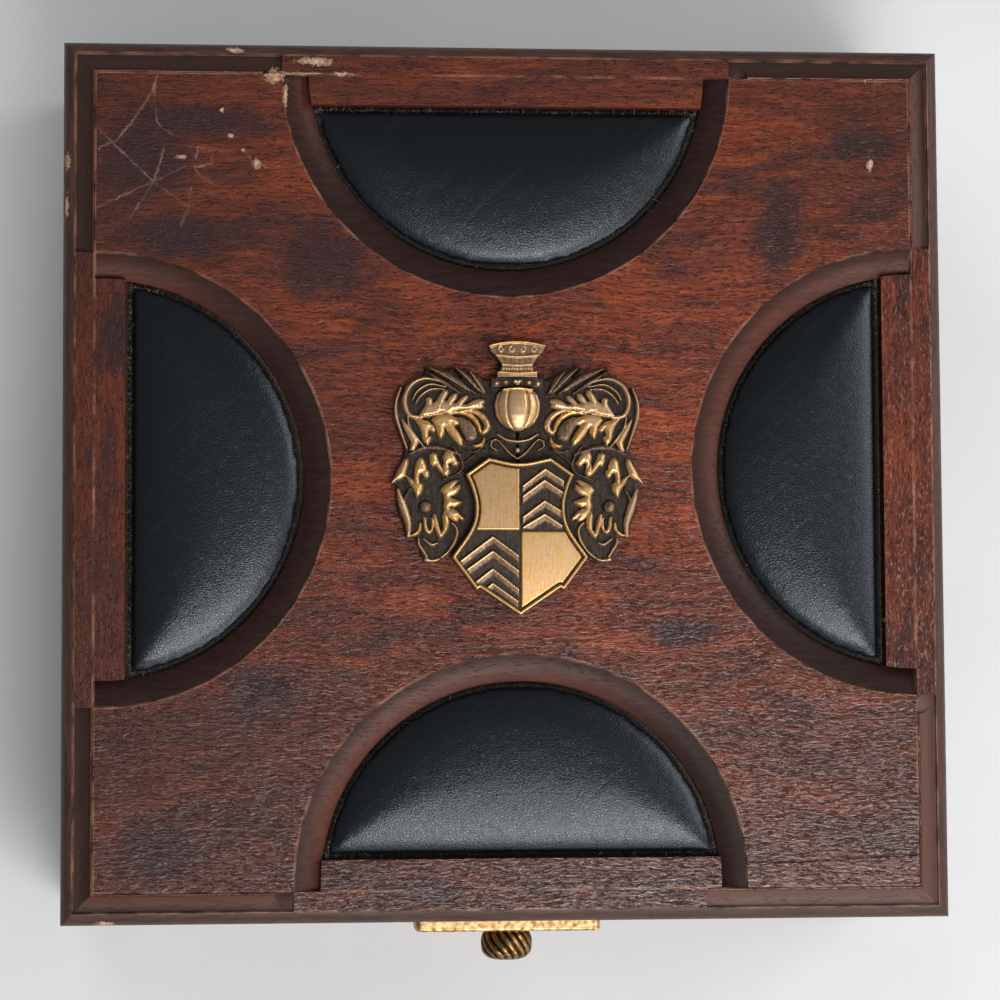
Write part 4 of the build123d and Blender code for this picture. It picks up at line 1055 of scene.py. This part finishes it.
for points, half in (
    (((-7.9, 37.9), (-4.1, 38.7), (0.0, 39.0), (4.1, 38.7), (7.9, 37.9)), 0.42),
    (((-6.2, 35.2), (0.0, 34.7), (6.2, 35.2)), 0.28),
    (((-4.5, 32.6), (0.0, 32.3), (4.5, 32.6)), 0.2),
    (((-5.5, 30.3), (0.0, 30.0), (5.5, 30.3)), 0.42),
):
    stroke(points, (half, half), 4.2, 0.9, 1.0)
angle = np.linspace(0, 1.75 * np.pi, 12)
for x in (-4.6, -1.5, 1.5, 4.6):
    size = np.linspace(0.95, 0.4, 12)
    turned = np.sign(x) * angle
    scroll = np.column_stack([x + size * np.sin(turned), 36.9 + size * np.cos(turned)])
    stroke(scroll, (0.24, 0.24), 4.1, 0.7, 0.85)
for x in np.arange(-4.0, 4.1, 0.8):
    dome(x, 31.4, 0.36, 3.9, 0.9, 0.8)
print("ornament up to", round(float(height.max()), 2), "mm")


# %% [markdown]
# ### Gilding
#
# The casting was gilt, then toned dark, and the high parts were wiped and have since been rubbed
# bright. So the shade at each point is worked out from the relief: what stands above its
# surroundings is bright, hollows and steep sides stay dark. It goes into the mesh as an
# attribute, and the finish mixes dark patina and gold by it.

# %% Softened relief and its shine
def softened(levels, reach):
    """Mean over a square of 2 reach + 1 cells, from running sums along each axis."""
    for axis in (0, 1):
        edges = [(reach + 1, reach) if a == axis else (0, 0) for a in (0, 1)]
        padded = np.pad(levels, edges, mode="edge")
        total = padded.cumsum(axis)
        n = levels.shape[axis]
        upper = np.take(total, np.arange(2 * reach + 1, 2 * reach + 1 + n), axis)
        lower = np.take(total, np.arange(0, n), axis)
        levels = (upper - lower) / (2 * reach + 1)
    return levels


solid = height > 0.02
height = np.where(solid, 0.4 * height + 0.6 * softened(height, 1), 0.0)
around = softened(softened(height, 4), 4)
proud = np.clip(0.85 + (height - around) / 0.7, 0.05, 1)
slope = np.hypot(*np.gradient(height, grid_step))
wall = np.clip((slope - 1.6) / 2.4, 0, 1)
shine = np.clip(softened(tone, 1) * proud * (1 - 0.5 * wall), 0, 1)
print("mean shine", round(float(shine[solid].mean()), 2))


# Patina, browns and golds, from the hollows to what is rubbed most
GILDING = (
    (0.05, "#1a130e"), (1.0, "#dca659"), (0.25, "#44352a"), (0.5, "#8d7154"), (0.82, "#cda880"),
    (0.93, "#c99c5a"),
)


def antique_gold():
    """Gilt casting: rubbed gold on the high parts, dark brown patina in the hollows."""
    material, node, shader = finish_named("antiqued_gilt_casting")
    place = node("TexCoord", out="Object")
    paler = node("Attribute", out="Fac", attribute_name="shine")
    speck = node("TexNoise", {"Vector": place, "Scale": 1000 / 0.9, "Detail": 3.0})
    fine = node("Mapping", {"Vector": place, "Scale": (1000 / 0.4, 1000 / 6.0, 1000 / 0.4)})
    brushed = node("TexNoise", {"Vector": fine, "Scale": 1.0, "Detail": 2.0})
    speck = node("Math", {0: speck, 1: brushed}, operation="ADD")
    speck = node(
        "MapRange", {"Value": speck, "From Min": 0.6, "From Max": 1.4, "To Min": -0.16, "To Max": 0.16}
    )
    paler = node("Math", {0: paler, 1: speck}, operation="ADD", use_clamp=True)
    colour = node("ValToRGB", {0: paler}, stops=GILDING)
    from_patina = {"Value": paler, "From Min": 0.1, "From Max": 0.9}
    rough = node("MapRange", {**from_patina, "To Min": 0.52, "To Max": 0.36})
    # Lacquer and patina hide part of the metal, most in the hollows.
    metal = node("MapRange", {**from_patina, "To Min": 0.45, "To Max": 0.82})
    marks = node("Bump", {"Height": brushed, "Distance": 0.07 * MM, "Strength": 0.8})
    fill(shader, {"Base Color": colour, "Roughness": rough, "Metallic": metal, "Normal": marks})
    return material


def relief_piece(name, chosen, material):
    """Closed mesh of the relief over the chosen grid cells: the top, walls down to the lid along
    the border, and one flat face beneath each part."""
    rows, columns = gx.shape
    top = grid_faces(rows, columns)[chosen.ravel()]
    start, end = top.ravel(), np.roll(top, -1, axis=1).ravel()
    border = ~np.isin(start * gx.size + end, end * gx.size + start)
    a, b = start[border], end[border]
    walls = np.stack([b, a, a + gx.size, b + gx.size], -1)
    used, faces = np.unique(np.concatenate([top, walls]), return_inverse=True)
    faces = faces.reshape(-1, 4)
    where = used % gx.size
    x, y, z = gx.ravel()[where], gy.ravel()[where], height.ravel()[where]
    z = np.where(used < gx.size, z, 0.0)
    points = np.column_stack([(x + mount_x) * MM, (y + mount_y) * MM, lid_top + z * MM])
    piece = put_mesh(name, points, faces, material, "lid")
    values = piece.data.attributes.new("shine", "FLOAT", "POINT")
    values.data.foreach_set("value", shine.ravel()[where].astype(np.float32))
    shape = bmesh.new()
    shape.from_mesh(piece.data)
    open_edges = [edge for edge in shape.edges if len(edge.link_faces) == 1]
    bmesh.ops.holes_fill(shape, edges=open_edges, sides=0)
    shape.to_mesh(piece.data)
    shape.free()
    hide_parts("heraldic_mount")
    return piece


gilt = antique_gold()
cells = solid[:-1, :-1] & solid[1:, :-1] & solid[:-1, 1:] & solid[1:, 1:]
near_axis = np.abs(gx) < np.maximum(w, 8.0) * (gy > 4)
middle = ((shield > 0) | (coronet > 0) | (crown_band > 0) | near_axis)[:-1, :-1]
left = (gx < 0)[:-1, :-1]
ornament = [
    relief_piece("ornament_shield_and_helm", cells & middle, gilt),
    relief_piece("ornament_mantling_left", cells & ~middle & left, gilt),
    relief_piece("ornament_mantling_right", cells & ~middle & ~left, gilt),
]
print("ornament", [len(piece.data.polygons) for piece in ornament], "faces")


# %% [markdown]
# ## Knob and backplate
#
# The knob is aged brass, cast with sixteen rounded lobes that swirl round it. Its radius is a
# profile along the axis times a wave round it, and the wave turns as it goes outwards. The
# backplate keeps its CAD shape and gets a mottled gilt finish.

# %% Knob
def aged_brass():
    """Aged brass: dark in the valleys, rubbed bright along the crests."""
    material, node, shader = finish_named("aged_cast_brass", metallic=1.0)
    place = node("TexCoord", out="Object")
    crest = node("Attribute", out="Fac", attribute_name="shine")
    speck = node("TexNoise", {"Vector": place, "Scale": 1000 / 1.2, "Detail": 3.0})
    speck = node(
        "MapRange", {"Value": speck, "From Min": 0.3, "From Max": 0.7, "To Min": -0.25, "To Max": 0.25}
    )
    crest = node("Math", {0: crest, 1: speck}, operation="ADD", use_clamp=True)
    colour = node("ValToRGB", {0: crest}, stops=((0.1, "#171009"), (0.95, "#8a6a40"), (0.5, "#46321c")))
    fill(shader, {"Base Color": colour})
    rough = node("MapRange", {"Value": crest, "To Min": 0.5, "To Max": 0.28})
    fill(shader, {"Roughness": rough})
    return material


knob_low, knob_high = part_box("pull_knob")
knob_radius = (knob_high[0] - knob_low[0]) / 2
knob_z = (knob_high[2] + knob_low[2]) / 2
lobes, swirl = 16, np.radians(55)
# Shares of the length, outwards from the lid, and of the greatest radius
PROFILE = (
    (0.0, 0.0), (0.0, 0.8), (0.05, 0.86), (0.14, 0.95), (0.4, 1.0), (0.66, 0.97), (0.84, 0.84),
    (0.95, 0.62), (0.99, 0.34), (1.0, 0.02),
)
profile = np.clip(smooth_curve(PROFILE, 60), 0, 1)
out_share, size = profile[:, :1], profile[:, 1:]
around_axis = np.linspace(0, 2 * np.pi, lobes * 14, endpoint=False)
wave = np.abs(np.cos(lobes / 2 * (around_axis[None] + swirl * out_share)))
radius = knob_radius * size * (1 - 0.09 * (1 - wave) * np.clip(size / 0.5, 0, 1))
knob_x = radius * np.cos(around_axis)
knob_y = knob_high[1] - out_share * (knob_high[1] - knob_low[1]) + 0 * radius
knob_points = np.stack([knob_x, knob_y, knob_z + radius * np.sin(around_axis)], -1)
knob_faces = grid_faces(len(profile), len(around_axis), wrap=True)
knob = put_mesh("gadrooned_knob", knob_points, knob_faces, aged_brass(), "lid")
values = knob.data.attributes.new("shine", "FLOAT", "POINT")
values.data.foreach_set("value", (wave * np.ones_like(size)).ravel().astype(np.float32))
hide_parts("pull_knob")
print("knob", round(knob_radius * 2000, 1), "mm across")


# %% [markdown]
# ## Small metal, boards and linings
#
# The backplate is gilt like the ornament but plainer. The hinges and their screws are brass, and
# the knob's screw is plated steel. Inside, the box is lined with black flock, and black felt
# covers the underside.

# %% The other finishes
def mottled_metal(name, dark, light, roughness, grain_mm):
    """Cast or rolled metal whose tone drifts, finely pitted."""
    material, node, shader = finish_named(name, metallic=1.0)
    place = node("TexCoord", out="Object")
    drift = node("TexNoise", {"Vector": place, "Scale": 1000 / grain_mm, "Detail": 4.0})
    colour = node("ValToRGB", {0: drift}, stops=((0.32, dark), (0.62, light)))
    fill(shader, {"Base Color": colour})
    rough = node("MapRange", {"Value": drift, "To Min": roughness + 0.12, "To Max": roughness - 0.1})
    fill(shader, {"Roughness": rough})
    pits = node("TexNoise", {"Vector": place, "Scale": 1000 / 0.6, "Detail": 2.0})
    fill(shader, {"Normal": node("Bump", {"Height": pits, "Distance": 0.00005, "Strength": 0.6})})
    return material


def flock(name, dark, light, pile_mm):
    """Short pile: fine speckle with a soft sheen at grazing angles."""
    material, node, shader = finish_named(name, 0.95)
    place = node("TexCoord", out="Object")
    pile = node("TexNoise", {"Vector": place, "Scale": 1000 / pile_mm, "Detail": 2.0})
    brushed = node("TexNoise", {"Vector": place, "Scale": 1000 / 30, "Detail": 2.0})
    tint = node("Math", {0: pile, 1: brushed}, operation="MULTIPLY")
    colour = node("ValToRGB", {0: tint}, stops=((0.12, dark), (0.42, light)))
    fill(shader, {"Base Color": colour, "Sheen Weight": 0.35, "Sheen Roughness": 0.4})
    fill(shader, {"Normal": node("Bump", {"Height": pile, "Distance": 0.0003, "Strength": 0.6})})
    return material


def hardboard(name, dark, light):
    """Pressed board: matted fibres with darker flecks."""
    material, node, shader = finish_named(name, 0.8)
    place = node("TexCoord", out="Object")
    matted = node("TexNoise", {"Vector": place, "Scale": 1000 / 1.5, "Detail": 4.0, "Distortion": 1.5})
    colour = node("ValToRGB", {0: matted}, stops=((0.3, dark), (0.7, light)))
    fibres = node("Bump", {"Height": matted, "Distance": 0.1 * MM, "Strength": 0.5})
    fill(shader, {"Base Color": colour, "Normal": fibres})
    return material


give(mottled_metal("mottled_gilt_plate", "#7a5830", "#d8b684", 0.42, 1.6), "pull_backplate")
hinge_nodes = [name for name in nodes if name.startswith("hinge_")]
give(mottled_metal("satin_hinge_brass", "#8e6a30", "#c29a54", 0.36, 9.0), *hinge_nodes)
give(mottled_metal("zinc_plated_steel", "#8b8a85", "#b4b3ae", 0.34, 4.0), "pull_screw")
screw_brass = mottled_metal("brass_wood_screws", "#80602c", "#b8914e", 0.34, 4.0)
give(screw_brass, "base_hinge_screws", "lid_hinge_screws")
linings = [name for name in nodes if name.endswith("_lining") or name.endswith("_divider")]
give(flock("black_flock", "#070708", "#1b1b1d", 0.7), *linings)
give(flock("black_felt", "#0b0b0a", "#232321", 1.2), "base_felt")
give(hardboard("pressed_hardboard", "#3a2416", "#6b4a30"), "base_board", "lid_backing_board")
pad_boards = [name for name in nodes if name.startswith("pad_") and name.endswith("_board")]
give(hardboard("black_dyed_hardboard", "#060606", "#121212"), *pad_boards)
print(len(hinge_nodes), "hinge pieces,", len(linings), "lined pieces,", len(pad_boards), "pad boards")
